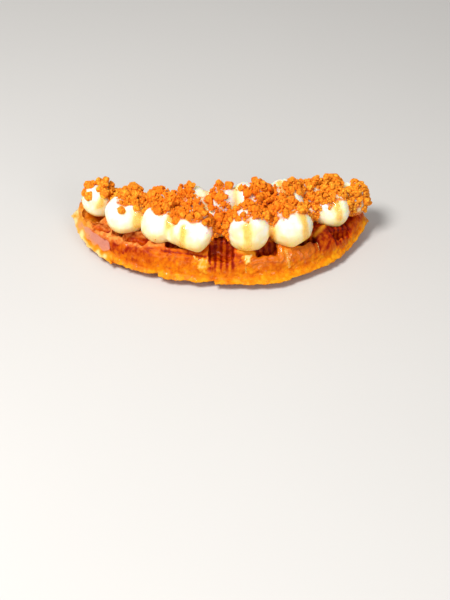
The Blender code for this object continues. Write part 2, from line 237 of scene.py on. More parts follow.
print("middle of the front rim, mm:", [round(value / MM, 1) for value in section(0.0, 0.0)])

# %% [markdown]
# ## Small tools for modelling by operator
#
# Blender's operators act on what is selected, so each piece starts by deselecting everything.  These
# helpers apply a modifier, join and copy objects, and move points by a rule, as one would by hand.

# %% Modelling helpers


def deselect():
    """Deselect everything, so that an operator only reaches what is added next."""
    for item in bpy.context.view_layer.objects:
        item.select_set(False)


def choose(*items):
    """Select these objects only, with the first one active."""
    deselect()
    for item in items:
        item.select_set(True)
    bpy.context.view_layer.objects.active = items[0]


def add_ball(name, segments, rings):
    """Unit sphere of quads under a name."""
    deselect()
    bpy.ops.mesh.primitive_uv_sphere_add(segments=segments, ring_count=rings, radius=1.0)
    bpy.context.object.name = name
    return bpy.context.object


def apply_modifier(item, kind, **values):
    """Add a modifier with these values and apply it."""
    choose(item)
    modifier = item.modifiers.new(kind.title(), kind)
    for name, value in values.items():
        setattr(modifier, name, value)
    bpy.ops.object.modifier_apply(modifier=modifier.name)


def join(items, name):
    """Join objects into one."""
    choose(*items)
    if len(items) > 1:
        bpy.ops.object.join()
    items[0].name = name
    items[0].data.name = name
    return items[0]


# %% Copy, move, remove and measure


def copy_of(item):
    """Copy of an object with its own mesh."""
    twin = item.copy()
    twin.data = item.data.copy()
    bpy.context.collection.objects.link(twin)
    return twin


def move_points(item, rule):
    """Move every point of an object to where a rule puts it."""
    for vert in item.data.vertices:
        vert.co = rule(vert.co.copy())
    item.data.update()


def remove(item):
    """Remove an object and its mesh."""
    mesh = item.data
    bpy.data.objects.remove(item)
    bpy.data.meshes.remove(mesh)


def shade_smooth(item):
    """Smooth shading all over."""
    choose(item)
    bpy.ops.object.shade_smooth()


def triangles(item):
    """Number of triangles in an object's mesh."""
    return sum(len(face.vertices) - 2 for face in item.data.polygons)


def write_values(item, name, values):
    """Keep a number for each point of a mesh, for its material to read."""
    attribute = item.data.attributes.new(name, "FLOAT", "POINT")
    attribute.data.foreach_set("value", values)

# %% [markdown]
# ## The dough
#
# The dough starts as a sphere, and each of its points is moved to its place on the crescent.

# %% Wrap a sphere into the crescent
DOUGH_SEGMENTS = 160
DOUGH_RINGS = 300
POLE_SPREAD = 0.7


def wrapped(co):
    """Place on the dough of a point of the unit sphere."""
    latitude = math.asin(max(-1.0, min(1.0, co.z)))
    along = math.sin(POLE_SPREAD * latitude) / math.sin(POLE_SPREAD * math.pi / 2.0)
    out, height = section(along, math.atan2(co.y, co.x))
    return place(turn_at(along), out, height)


def add_dough(name, segments, rings):
    """Crescent of dough before its pockets are pressed."""
    item = add_ball(name, segments, rings)
    move_points(item, wrapped)
    bpy.ops.object.mode_set(mode="EDIT")
    bpy.ops.mesh.select_all(action="SELECT")
    bpy.ops.mesh.normals_make_consistent(inside=False)
    bpy.ops.object.mode_set(mode="OBJECT")
    return item


dough = add_dough("dough_crust", DOUGH_SEGMENTS, DOUGH_RINGS)
print("dough before the pockets:", triangles(dough), "triangles")

# %% [markdown]
# ## The pockets
#
# The iron's pegs press pockets into both faces, in columns along the arc and rows across it.  One peg is
# modelled and copied to every pocket.  It starts as a cube and gets soft edges, sides that draw in towards
# its end, a floor that rises to the front, and the upright flutes that the dough's layers leave.  The pegs
# go less deep near the back, where the dough is thin.
#
# For each column from the left, one list gives how far its front pocket stays from the rim and how deep it
# is.  The other has two more hollows in the torn shoulder, by turn, inner and outer end, width and depth.

# %% One peg of the iron
POCKET_PITCH_TURN = math.radians(11.8)
FIRST_POCKET_TURN = math.radians(-46.4)
POCKET_WIDTH = 13.0 * MM
POCKET_ROW_PITCH = 18.5 * MM
POCKET_ROW_SHIFT = -3.5 * MM
POCKET_DEPTH = 7.4 * MM
POCKET_TAPER = 0.80
FLOOR_RISE = 0.24
LEAST_POCKET = 4.5 * MM
UNDERSIDE_POCKET_DEPTH = 4.0 * MM
UNDERSIDE_MARGIN = 9.0 * MM
BACK_POCKET_MARGIN = 3.2 * MM
BACK_POCKET_DEPTH = 4.8 * MM
FRONT_POCKETS = (
    (4.5 * MM, 4.5 * MM),
    (5.8 * MM, 4.5 * MM),
    (6.5 * MM, 5.5 * MM),
    (9.5 * MM, 5.5 * MM),
    (2.8 * MM, 7.4 * MM),
    (5.8 * MM, 7.4 * MM),
    (8.5 * MM, 7.4 * MM),
    (4.0 * MM, 7.4 * MM),
)
SHOULDER_HOLLOWS = (
    (-40.5, -1.5 * MM, 10.5 * MM, 13.0 * MM, 5.5 * MM),
    (-28.7, 8.5 * MM, 14.0 * MM, 8.0 * MM, 4.5 * MM),
)
PEG_EDGE = 0.10
PEG_CUTS = 5
FLUTES = 4.5
FLUTE_DEPTH = 0.035
FLUTED_WALL = (0.36, 0.5)
FLUTED_END = (0.30, 0.5)
RISING_END = (0.0, 0.5)

deselect()
bpy.ops.mesh.primitive_cube_add(size=1.0)
peg = bpy.context.object
peg.name = "peg"
bpy.ops.object.mode_set(mode="EDIT")
bpy.ops.mesh.select_all(action="SELECT")
bpy.ops.mesh.bevel(offset=PEG_EDGE, segments=2, affect="EDGES")
bpy.ops.mesh.subdivide(number_cuts=PEG_CUTS)
bpy.ops.object.mode_set(mode="OBJECT")


def peg_shape(co):
    """Point of the peg with its taper, rising floor and flutes; its end is down and its front is -Y."""
    depth = max(0.0, -2.0 * co.z)
    flute = FLUTE_DEPTH * math.cos(math.tau * FLUTES * co.x)
    wall = smoothstep(*FLUTED_WALL, abs(co.y))
    shaped = Vector((co.x, co.y, co.z))
    shaped.y += math.copysign(flute * wall, co.y)
    shaped.z -= flute * smoothstep(*FLUTED_END, -co.z)
    shaped.z += FLOOR_RISE * depth * smoothstep(*RISING_END, -co.y)
    draw_in = 1.0 - (1.0 - POCKET_TAPER) * depth
    return Vector((shaped.x * draw_in, shaped.y * draw_in, shaped.z))


move_points(peg, peg_shape)
print("peg:", triangles(peg), "triangles")

# %% [markdown]
# Dough doesn't take a clean print.  Each copy of the peg is bent by noise where it stands, so no two
# pockets are alike.  The noise has fixed seeds, so they come out the same each time.  A Boolean takes all
# the pegs out of the dough at once.

# %% Press the pegs into both faces
WARP = ((1.2 * MM, 6.0 * MM), (0.45 * MM, 2.2 * MM))
WARP_SEEDS = (81.0, 84.0, 87.0)


def warped(co):
    """Point bent a little by noise, in large and in small waves."""
    moved = co.copy()
    for height, size in WARP:
        moved += height * Vector([rough(co, size, seed) for seed in WARP_SEEDS])
    return moved


def pressed(turn, inner, outer, width, mouth, floor):
    """Copy of the peg in the place of one pocket."""
    twin = copy_of(peg)
    scale = Matrix.Diagonal((width, outer - inner, mouth - floor, 1.0))
    lift = Matrix.Translation((0.0, -(inner + outer) / 2.0 - SPINE_RADIUS, (mouth + floor) / 2.0))
    swing = Matrix.Translation(SPINE_CENTRE) @ Matrix.Rotation(turn, 4, "Z")
    twin.data.transform(swing @ lift @ scale)
    if floor > mouth:
        twin.data.flip_normals()
    move_points(twin, warped)
    return twin


pegs = []
for column, (front_margin, front_depth) in enumerate(FRONT_POCKETS):
    turn = FIRST_POCKET_TURN + column * POCKET_PITCH_TURN
    along = along_spine(turn)
    width, crown, base = half_width(along), crown_height(along), base_height(along)
    for row in (-1, 0, 1):
        middle = POCKET_ROW_SHIFT + row * POCKET_ROW_PITCH
        inner = max(middle - POCKET_WIDTH / 2.0, -width + BACK_POCKET_MARGIN)
        outer = min(middle + POCKET_WIDTH / 2.0, width - front_margin)
        depth = {-1: BACK_POCKET_DEPTH, 0: POCKET_DEPTH, 1: front_depth}[row]
        if outer - inner > LEAST_POCKET:
            mouth = crown + POCKET_DEPTH
            pegs.append(pressed(turn, inner, outer, POCKET_WIDTH, mouth, crown - depth))
        inner = max(middle - POCKET_WIDTH / 2.0, -width + UNDERSIDE_MARGIN)
        outer = min(middle + POCKET_WIDTH / 2.0, width - UNDERSIDE_MARGIN)
        if outer - inner > LEAST_POCKET and base <= 0.0:
            low, high = -POCKET_DEPTH, UNDERSIDE_POCKET_DEPTH
            pegs.append(pressed(turn, inner, outer, POCKET_WIDTH, low, high))
for degrees, inner, outer, width, depth in SHOULDER_HOLLOWS:
    turn = math.radians(degrees)
    crown = crown_height(along_spine(turn))
    pegs.append(pressed(turn, inner, outer, width, crown + depth, crown - depth))
print(len(pegs), "pockets")
iron = join(pegs, "iron")
apply_modifier(dough, "BOOLEAN", object=iron, operation="DIFFERENCE", solver="MANIFOLD")
remove(iron)
remove(peg)

# %% [markdown]
# ## An even skin
#
# The Boolean leaves long thin faces, and the real pockets have soft, baked edges.  A voxel remesh gives
# the whole dough faces of one size, and a few rounds of smoothing soften the pocket edges.

# %% Remesh and soften
DOUGH_VOXEL = 0.55 * MM

apply_modifier(dough, "REMESH", mode="VOXEL", voxel_size=DOUGH_VOXEL, adaptivity=0.0)
apply_modifier(dough, "SMOOTH", factor=0.5, iterations=2)
print("even skin:", triangles(dough), "triangles")

# %% [markdown]
# ## Where the crust differs
#
# Croissant dough bakes into thin sheets that end in ragged steps.  At the left the top layer tore open
# and baked brown and lumpy; below the tear runs a smooth glazed band, whose pink is a painted reflection,
# and the edge below the band stayed pale.  Each lap of the roll leaves a seam, a fold stands up as a ridge
# at the right, paler partly from a painted highlight, two blisters stayed pale, with a painted highlight as
# a ring near their edges, and some caramel soaked in as syrup.  These lists give their places, as turn in
# degrees, distance out and height in millimetres.  The tear's edge is turns and heights alone.  A blister
# also has its half width, half height and paleness, and a syrup patch is a turn, a height and how far it
# reaches from them.  The last list says how much each column of pockets marks the crust below it with
# stripes.

# %% Places of the crust's features
TEAR_EDGE = (
    (-50.0, 8.3), (-42.0, 9.8), (-36.0, 10.6), (-30.0, 11.8), (-24.0, 13.4), (-18.0, 15.0), (-12.0, 17.5),
)
GLAZED_BAND = ((-44.5, 11.0, 8.9), (-40.0, 13.2, 8.6), (-34.0, 15.6, 8.6), (-31.0, 16.8, 8.4))
SEAMS = (
    ((-26.7, 22.5, 4.2), (-28.2, 19.5, 7.0), (-30.2, 16.8, 9.4)),
    ((-14.5, 17.0, 15.6), (-2.5, 17.5, 15.2)),
    ((-25.0, 18.5, 9.0), (-12.0, 20.5, 8.2)),
)
RIDGES = (
    ((16.5, 16.8, 15.4), (21.0, 15.0, 16.2), (27.0, 10.5, 16.0), (32.5, 5.0, 15.4)),
    ((5.5, 15.0, 17.0), (9.5, 16.5, 16.8)),
)
PALE_BLISTERS = ((-3.7, 19.3, 11.8, 2.9, 4.8, 0.65), (7.3, 18.3, 13.4, 1.9, 2.9, 1.0))
PALE_EDGE = (
    (-52.0, 2.0, 10.5), (-50.3, 5.6, 9.5), (-46.0, 10.5, 8.5), (-41.1, 15.6, 6.5),
    (-36.0, 19.5, 4.6), (-32.5, 20.3, 5.0), (-29.0, 21.8, 4.9),
)
SYRUP_PATCHES = ((17.0, 14.5, 4.5, 4.0), (23.0, 13.0, 3.0, 3.0), (10.5, 12.5, 2.5, 2.5))
STRIPED_COLUMNS = (0.10, 0.10, 0.10, 0.10, 1.0, 0.15, 0.45, 0.95)


def edge_at(edge, degrees):
    """Value of an edge, given as pairs of turn and value, at a turn."""
    for (left, low), (right, high) in zip(edge, edge[1:]):
        if degrees <= right:
            share = max(0.0, (degrees - left) / (right - left))
            return low + (high - low) * share
    return edge[-1][1]


def corners_of(line):
    """Corners of a line on the crust as points."""
    return [place(math.radians(degrees), out * MM, height * MM) for degrees, out, height in line]


def line_distance(point, corners):
    """Distance from a point to a line with corners."""
    nearest = 1.0
    for start, end in zip(corners, corners[1:]):
        run = end - start
        share = min(1.0, max(0.0, (point - start).dot(run) / run.length_squared))
        nearest = min(nearest, (point - start - share * run).length)
    return nearest


band_corners = corners_of(GLAZED_BAND)
edge_corners = corners_of(PALE_EDGE)
seam_corners = [corners_of(line) for line in SEAMS]
ridge_corners = [corners_of(line) for line in RIDGES]
print(len(SEAMS), "seams and", len(RIDGES), "ridges")

# %% [markdown]
# ## Relief and baking
#
# Each point of the dough moves a little along its normal.  The same pass writes values on the mesh for
# the crust's material: how toasted a point is, from golden at 0 to dark red at 1, with painted shade among
# the torn lumps, how torn, how glazed, which also places a painted pink reflection, and how pale it is,
# with painted highlights on the ridges and round the blisters, and how much syrup lies on it.  This could
# be sculpted and painted by hand, but rules follow the dough's shape everywhere and give the same crust
# each time.
#
# Two measures come first.  The dough's section tells how deep in a pocket a point lies, and the columns of
# pockets tell where the pegs' flutes run on down the crust.

# %% How deep in a pocket, and on which flute
PAST_THE_RIM = 1.2
STRIPE_FADE = (0.42 * POCKET_WIDTH, 0.60 * POCKET_WIDTH)


def depth_below_dome(along, out, height):
    """About how far a point lies under the dough's surface as it was before the pockets."""
    reach = half_width(along) - RIM_REACH * slimness(along)
    rim, crown = rim_height(along), crown_height(along)
    across = min(PAST_THE_RIM, abs(out) / max(reach, MM))
    up = max(0.0, (height - rim) / (crown - rim))
    level = across ** 4 + up ** 2
    slope = math.hypot(4.0 * across ** 3 / max(reach, MM), 2.0 * up / (crown - rim))
    return (1.0 - level) / max(slope, 1.0)


def flute_wave(turn, out):
    """Wave across a column of pockets, 1 on its grooves, with how striped the crust is below it."""
    column = (turn - FIRST_POCKET_TURN) / POCKET_PITCH_TURN
    nearest = max(0, min(len(STRIPED_COLUMNS) - 1, round(column)))
    off = (column - nearest) * POCKET_PITCH_TURN * (SPINE_RADIUS + out)
    near = 1.0 - smoothstep(*STRIPE_FADE, abs(off))
    return math.cos(math.tau * FLUTES * off / POCKET_WIDTH), near * STRIPED_COLUMNS[nearest]


striped = sum(share > 0.4 for share in STRIPED_COLUMNS)
print(striped, "of", len(STRIPED_COLUMNS), "columns leave clear stripes")

# %% [markdown]
# The rules that follow need to know the same things about a point, so these are worked out once and kept
# together as a spot.  Each rule then changes the spot's relief and values, and a later rule covers what an
# earlier one made.

# %% What a point of the dough is like
OUTERMOST = 0.995
SIDE_FACING = (0.45, 0.85)
LIP_THICKNESS = 1.7 * RIM_THICKNESS
LIP_BAND = (4.5 * MM, 1.5 * MM)
POCKET_WALL = (0.8 * MM, 2.6 * MM)
FRONT_SIDE = (1.0 * MM, 6.0 * MM)
LEFT_PART = (-22.0, -13.0)
FAR_LEFT_PART = (-41.0, -36.0)
UPPER_FLANK = (3.0 * MM, 7.5 * MM)
MOTTLING = ((0.6, 3.0 * MM, 23.0), (0.4, 1.5 * MM, 27.0))


def layered(point, waves, total=0.0):
    """Sum of noises at a point, each with its share, size and seed."""
    for share, size, seed in waves:
        total += share * rough(point, size, seed)
    return total


def over_rim(spot, band):
    """Smooth rise from 0 to 1 over a band of heights above the rim."""
    return smoothstep(spot.rim + band[0], spot.rim + band[1], spot.co.z)


def survey(co, normal):
    """Where a point of the dough lies, how it faces, how deep it is and which part it belongs to."""
    spot = SimpleNamespace(co=co, normal=normal)
    spot.turn, spot.out = turn_and_out(co)
    spot.degrees = math.degrees(spot.turn)
    spot.arc = Vector((spot.turn * (SPINE_RADIUS + spot.out), spot.out, co.z))
    along = max(-OUTERMOST, min(OUTERMOST, along_spine(spot.turn)))
    width, crown = half_width(along), crown_height(along)
    spot.rim = rim_height(along)
    spot.rise = max(0.0, (co.z - spot.rim) / (crown - spot.rim))
    spot.side = smoothstep(*SIDE_FACING, math.hypot(normal.x, normal.y))
    outer = smoothstep(width - LIP_BAND[0], width - LIP_BAND[1], abs(spot.out))
    spot.lip = bump(co.z, spot.rim, LIP_THICKNESS) * outer
    depth = depth_below_dome(along, spot.out, co.z) if co.z > spot.rim else 0.0
    spot.deep = smoothstep(*POCKET_WALL, depth)
    spot.front = smoothstep(*FRONT_SIDE, spot.out)
    spot.left = 1.0 - smoothstep(*LEFT_PART, spot.degrees)
    spot.far_left = 1.0 - smoothstep(*FAR_LEFT_PART, spot.degrees)
    spot.upper = over_rim(spot, UPPER_FLANK)
    spot.mottled = layered(spot.arc, MOTTLING)
    spot.wave, spot.striped = flute_wave(spot.turn, spot.out)
    spot.flank = spot.striped * spot.upper * (1.0 - spot.deep)
    return spot


# %% [markdown]
# The crust is a stack of thin sheets, so its sides step in and out at even heights.  Small blisters lie
# on it, its lip is ragged, and below some pockets the pegs' flutes run on down the crust.

# %% Sheets, blisters, ragged lip and flutes
SHEET_SPACING = 2.6 * MM
SHEET_STEP = 0.30 * MM
SHEET_WAVES = ((1.6, 9.0 * MM, 2.0), (0.8, 3.5 * MM, 5.0))
SHEET_RISE = (0.0, 0.75)
SHEET_DROP = (0.80, 1.0)
LEVEL_SHEETS = 0.25
POCKET_SMOOTHING = 0.7
BLISTER_HEIGHT = 0.35 * MM
BLISTER_NOISE = (2.6 * MM, 11.0)
LEAST_BLISTER = 0.10
LOW_BLISTERS = 0.4
BLISTERED_FLANK = (1.5 * MM, 4.0 * MM)
RAGGED_EDGE = 0.55 * MM
RAGGED_WAVES = ((1.0, 2.0 * MM, 15.0), (0.7, 4.5 * MM, 17.0))
FLUTE_RELIEF = 0.25 * MM


def lay_sheets(spot):
    """Relief of the sheets' edges, the blisters, the ragged lip and the flutes."""
    level = layered(spot.arc, SHEET_WAVES, (spot.co.z - spot.rim) / SHEET_SPACING)
    step = level - math.floor(level)
    sheet = smoothstep(*SHEET_RISE, step) * (1.0 - smoothstep(*SHEET_DROP, step))
    steepness = LEVEL_SHEETS + (1.0 - LEVEL_SHEETS) * spot.side
    spot.relief = SHEET_STEP * (sheet - 0.5) * steepness * (1.0 - POCKET_SMOOTHING * spot.deep)
    blister = max(0.0, rough(spot.arc, *BLISTER_NOISE) - LEAST_BLISTER)
    blistered = LOW_BLISTERS + (1.0 - LOW_BLISTERS) * over_rim(spot, BLISTERED_FLANK)
    spot.relief += BLISTER_HEIGHT * blister * blistered
    spot.relief += RAGGED_EDGE * layered(spot.arc, RAGGED_WAVES) * spot.lip
    spot.relief -= FLUTE_RELIEF * spot.wave * spot.flank


# %% [markdown]
# The iron touched the crown and the pockets most, and they are the darkest.  The flanks brown more to the
# left and to the right than in the middle, and the grooves of the flutes leave dark stripes.

# %% Toasting
FLANK_TOAST = 0.22
LEFT_TOAST = 0.22
TOASTED_FLANK = (0.0, 2.5 * MM)
CROWN_TOAST = 0.26
CROWN_RISE = (0.15, 0.95)
MOTTLED_TOAST = 0.36
PATCHY_TOAST = 0.16
PATCH_NOISE = (7.0 * MM, 21.0)
UNDERSIDE_TOAST = 0.32
DOWNWARDS = (-0.3, -0.8)
RIGHT_PART = (20.0, 31.0)
RIGHT_TOAST = 0.14
STRIPE_TOAST = 0.42
STRIPE_EDGE = (-0.3, 0.7)
STRIPE_WANDER = 0.5
STRIPE_NOISE = (2.5 * MM, 41.0)
COLUMN_TOAST = 0.06
POCKET_TOAST = 0.60
POCKET_STRIPE_TOAST = 0.26
POCKET_MOTTLED_TOAST = 0.12
LIGHTER_LEFT_POCKETS = 0.55


def toast_crust(spot):
    """How toasted the crust is."""
    patchy = 0.5 + 0.5 * rough(spot.arc, *PATCH_NOISE)
    flank = FLANK_TOAST + LEFT_TOAST * spot.left
    toast = flank * over_rim(spot, TOASTED_FLANK) * (1.0 - spot.far_left)
    toast += CROWN_TOAST * smoothstep(*CROWN_RISE, spot.rise)
    toast += MOTTLED_TOAST * spot.mottled + PATCHY_TOAST * (patchy - 0.5)
    toast += UNDERSIDE_TOAST * smoothstep(*DOWNWARDS, spot.normal.z) * (1.0 - spot.deep)
    toast += RIGHT_TOAST * (1.0 + patchy) * smoothstep(*RIGHT_PART, spot.degrees) * spot.upper
    stripe = smoothstep(*STRIPE_EDGE, spot.wave + STRIPE_WANDER * rough(spot.arc, *STRIPE_NOISE))
    toast += STRIPE_TOAST * spot.flank * stripe + COLUMN_TOAST * spot.striped * (1.0 - spot.deep)
    pocket = POCKET_TOAST + POCKET_STRIPE_TOAST * stripe + POCKET_MOTTLED_TOAST * spot.mottled
    spot.toast = max(toast, spot.deep * (1.0 - LIGHTER_LEFT_POCKETS * spot.left) * pocket)


# %% [markdown]
# Where the top layer tore, the layers inside show as lumps and shreds, lower and paler than the crust,
# with painted shade: lighter on the tops of the lumps and darker in the hollows between them.  The band
# below the tear is smooth, so it takes the relief of the sheets away, and it carries a painted pink
# reflection.

# %% The torn shoulder with its painted shade, and the glazed band with its painted sheen
TEAR_WANDER = 1.0 * MM
TEAR_NOISE = (4.0 * MM, 33.0)
TEAR_BAND = (-0.4 * MM, 0.8 * MM)
TORN_SIDE = (0.0, 8.0 * MM)
TORN_POCKETS = 0.15
TEAR_DEPTH = 0.7 * MM
LUMP_HEIGHT = 0.75 * MM
LUMP_NOISE = (3.2 * MM, 31.0)
SHRED_HEIGHT = 0.5 * MM
SHRED_NOISE = (2.3 * MM, 35.0)
SHRED_FLATNESS = 1.8
TORN_LIGHTNESS = 0.10
LUMP_PAINTED_SHADE = 0.25
BAND_WANDER = 1.3 * MM
BAND_NOISE = (3.0 * MM, 55.0)
BAND_EDGE = (1.9 * MM, 3.5 * MM)
BAND_SMOOTHNESS = 0.7


def tear_shoulder(spot):
    """How torn the crust is, with its lumps and shreds, and painted shade that lightens the lumps' tops."""
    spot.torn = 0.0
    if spot.degrees < TEAR_EDGE[-1][0]:
        tear = edge_at(TEAR_EDGE, spot.degrees) * MM + TEAR_WANDER * rough(spot.arc, *TEAR_NOISE)
        spot.torn = smoothstep(tear + TEAR_BAND[0], tear + TEAR_BAND[1], spot.co.z)
        spot.torn *= smoothstep(*TORN_SIDE, spot.out) * (1.0 - TORN_POCKETS * spot.deep)
    lump = rough(spot.arc, *LUMP_NOISE)
    flat = Vector((spot.arc.x, spot.arc.y, SHRED_FLATNESS * spot.arc.z))
    shred = 1.0 - 2.0 * abs(rough(flat, *SHRED_NOISE))
    spot.relief += spot.torn * (LUMP_HEIGHT * lump + SHRED_HEIGHT * shred - TEAR_DEPTH)
    # Painted shade: the tops of the lumps are lighter and the hollows between them darker.
    spot.toast -= spot.torn * (TORN_LIGHTNESS + LUMP_PAINTED_SHADE * lump)


def glaze_band(spot):
    """How glazed the crust is, which also places the band's painted pink reflection."""
    away = line_distance(spot.co, band_corners) + BAND_WANDER * rough(spot.arc, *BAND_NOISE)
    spot.glazed = (1.0 - smoothstep(*BAND_EDGE, away)) * (1.0 - spot.torn)
    spot.relief *= 1.0 - BAND_SMOOTHNESS * spot.glazed


# %% [markdown]
# Dough that hardly touched the iron stays pale: the lip, the left tip and a line along the left edge.
# The laps leave dark seams, and the folds stand up as ridges, paler partly from a painted highlight.
# The laps leave dark seams, and the folds stand up as pale ridges.

# %% Pale edge, seams and ridges
LINE_WAVE = 2.5 * MM
EDGE_WANDER = 0.6 * MM
EDGE_SEED = 63.0
EDGE_WIDTH = 2.9 * MM
EDGE_PALENESS = 0.72
LIP_PALENESS = 0.22
TIP_PALENESS = 0.30
PALE_SHARE = 0.8
PALE_NOISE = (3.0 * MM, 25.0)
FOLD_WANDER = 0.5 * MM
SEAM_SEED = 51.0
SEAM_WIDTH = 0.9 * MM
SEAM_DEPTH = 0.6 * MM
SEAM_TOAST = 0.85
RIDGE_SEED = 53.0
RIDGE_WIDTH = 1.2 * MM
RIDGE_HEIGHT = 0.9 * MM
RIDGE_PALENESS_AND_HIGHLIGHT = 0.45
RIDGE_LIGHTNESS_AND_HIGHLIGHT = 0.7


def nearness(spot, corners, wander, seed, width):
    """How near to a wandering line a point lies, from 0 to 1."""
    return bump(line_distance(spot.co, corners) + wander * rough(spot.arc, LINE_WAVE, seed), 0.0, width)


def pale_edges(spot):
    """How pale the crust is at the lip, the left tip and the left edge."""
    edge = nearness(spot, edge_corners, EDGE_WANDER, EDGE_SEED, EDGE_WIDTH)
    uneven = PALE_SHARE + PALE_SHARE * rough(spot.arc, *PALE_NOISE)
    paleness = LIP_PALENESS * spot.lip + TIP_PALENESS * spot.front * spot.far_left
    spot.pale = (paleness + EDGE_PALENESS * edge) * uneven
    spot.torn *= 1.0 - edge


def draw_folds(spot):
    """Dark grooves at the seams, and ridges at the folds, paler partly from a painted highlight."""
    for corners in seam_corners:
        groove = nearness(spot, corners, FOLD_WANDER, SEAM_SEED, SEAM_WIDTH)
        spot.relief -= SEAM_DEPTH * groove
        spot.toast = max(spot.toast, SEAM_TOAST * groove)
    for corners in ridge_corners:
        raised = nearness(spot, corners, FOLD_WANDER, RIDGE_SEED, RIDGE_WIDTH)
        spot.relief += RIDGE_HEIGHT * raised
        # The ridges' paleness and lightness are partly a painted highlight along them.
        spot.pale = max(spot.pale, RIDGE_PALENESS_AND_HIGHLIGHT * raised)
        spot.toast *= 1.0 - RIDGE_LIGHTNESS_AND_HIGHLIGHT * raised


# %% [markdown]
# A pale blister is an uneven oval with a painted highlight as a brighter ring near its edge.  Syrup lies
# on the crust in patches that hide the relief below them and stand up in a few beads.

# %% Pale blisters and syrup
OVAL_WANDER = 0.8
OVAL_NOISE = (1.8 * MM, 29.0)
OVAL_EDGE = (0.60, 1.0)
OVAL_PALENESS = 0.80
OVAL_MOTTLING = 0.6
OVAL_MOTTLE_NOISE = (1.2 * MM, 59.0)
OVAL_SKIN_NOISE = (1.3 * MM, 57.0)
RING_HIGHLIGHT = 0.85
RING_PLACE = 0.90
RING_WIDTH = 0.10
RING_LEAST = 0.4
RING_GAPS = 1.2
RING_NOISE = (2.0 * MM, 58.0)
SYRUP_EDGE = (0.7, 1.2)
SYRUP_WANDER = 0.5
SYRUP_NOISE = (3.0 * MM, 64.0)
SYRUP_SMOOTHNESS = 0.8
SYRUP_BEAD = 0.7 * MM
BEAD_NOISE = (4.2 * MM, 65.0)
BEAD_WIDTH = 0.09


def raise_blisters(spot):
    """Pale blisters, each with a painted highlight as a ring near its edge."""
    for degrees, out, height, width, length, paleness in PALE_BLISTERS:
        centre = place(math.radians(degrees), out * MM, height * MM)
        sideways = (spot.co - centre).xy.length / (width * MM)
        away = math.hypot(sideways, (spot.co.z - centre.z) / (length * MM))
        away *= 1.0 + OVAL_WANDER * rough(spot.arc, *OVAL_NOISE)
        oval = 1.0 - smoothstep(*OVAL_EDGE, away)
        mottled = OVAL_PALENESS + OVAL_MOTTLING * rough(spot.arc, *OVAL_MOTTLE_NOISE)
        gaps = RING_LEAST + RING_GAPS * max(0.0, rough(spot.arc, *RING_NOISE))
        # The ring is a painted highlight near the blister's edge.
        ring = RING_HIGHLIGHT * bump(away, RING_PLACE, RING_WIDTH) * gaps
        spot.pale = max(spot.pale, paleness * oval * mottled, ring)
        spot.toast *= 1.0 - oval
        spot.relief += BLISTER_HEIGHT * oval * (1.0 + rough(spot.arc, *OVAL_SKIN_NOISE))


def pool_syrup(spot):
    """How much syrup lies on the crust, with its beads."""
    spot.syrup = 0.0
    for degrees, height, width, tall in SYRUP_PATCHES:
        away = math.hypot((spot.degrees - degrees) / width, (spot.co.z / MM - height) / tall)
        away += SYRUP_WANDER * rough(spot.arc, *SYRUP_NOISE)
        spot.syrup = max(spot.syrup, spot.front * (1.0 - smoothstep(*SYRUP_EDGE, away)))
    spot.syrup *= 1.0 - spot.deep
    bead = bump(rough(spot.arc, *BEAD_NOISE), 0.0, BEAD_WIDTH)
    spot.relief *= 1.0 - SYRUP_SMOOTHNESS * spot.syrup
    spot.relief += SYRUP_BEAD * bead * spot.syrup


# %% [markdown]
# The rules run one after another on every point.  The underside lies on the iron and the table, so its
# lowest points hardly move and none goes below the ground.

# %% Move the points and keep the values
RULES = (
    lay_sheets, toast_crust, tear_shoulder, glaze_band,
    pale_edges, draw_folds, raise_blisters, pool_syrup,
)
KEPT_VALUES = ("toast", "torn", "glazed", "pale", "syrup")
LOW_PART = 1.2 * MM
LOW_RELIEF = 0.15


def bake(co, normal):
    """Relief at a point of the dough, with the values that its material reads."""
    spot = survey(co, normal)
    for rule in RULES:
        rule(spot)
    relief = spot.relief * (LOW_RELIEF if co.z < LOW_PART else 1.0)
    return relief, [min(1.0, max(0.0, getattr(spot, name))) for name in KEPT_VALUES]


normals = [vert.normal.copy() for vert in dough.data.vertices]
baked = [bake(vert.co.copy(), normal) for vert, normal in zip(dough.data.vertices, normals)]
for vert, normal, (relief, _) in zip(dough.data.vertices, normals, baked):
    vert.co += normal * relief
    vert.co.z = max(0.0, vert.co.z)
for index, name in enumerate(KEPT_VALUES):
    write_values(dough, name, [values[index] for _, values in baked])
shade_smooth(dough)
print("baked crust, mm:", [round(side / MM, 1) for side in dough.dimensions])

# %% [markdown]
# ## The cream
#
# Cream piped from a plain nozzle falls in soft balls that run into their neighbours.  Each ball is a
# squashed sphere with an uneven skin, and a low bed joins the two rows.  A ball has its turn in degrees,
# its distance out from the spine and its radius.

# %% Dollops and the bed between them
FRONT_DOLLOPS = (
    (-40.5, 0.0 * MM, 8.8 * MM),
    (-27.8, 5.2 * MM, 10.0 * MM),
    (-16.6, 7.2 * MM, 9.6 * MM),
    (-7.1, 10.0 * MM, 10.6 * MM),
    (8.1, 8.0 * MM, 11.3 * MM),
    (20.1, 7.6 * MM, 11.3 * MM),
    (37.3, -0.2 * MM, 9.8 * MM),
)
BACK_DOLLOPS = (
    (-31.0, -6.0 * MM, 8.0 * MM),
    (-20.0, -7.0 * MM, 8.3 * MM),
    (-9.5, -10.5 * MM, 10.6 * MM),
    (0.8, -11.5 * MM, 10.8 * MM),
    (10.8, -13.5 * MM, 11.3 * MM),
    (23.5, -12.0 * MM, 11.0 * MM),
    (33.5, -11.0 * MM, 9.6 * MM),
    (40.0, -8.0 * MM, 11.0 * MM),
    (46.5, -1.0 * MM, 9.3 * MM),
)
MERGING_DOLLOPS = ((-11.8, 8.0 * MM, 8.2 * MM),)
DOLLOP_SEGMENTS = 48
DOLLOP_RINGS = 32
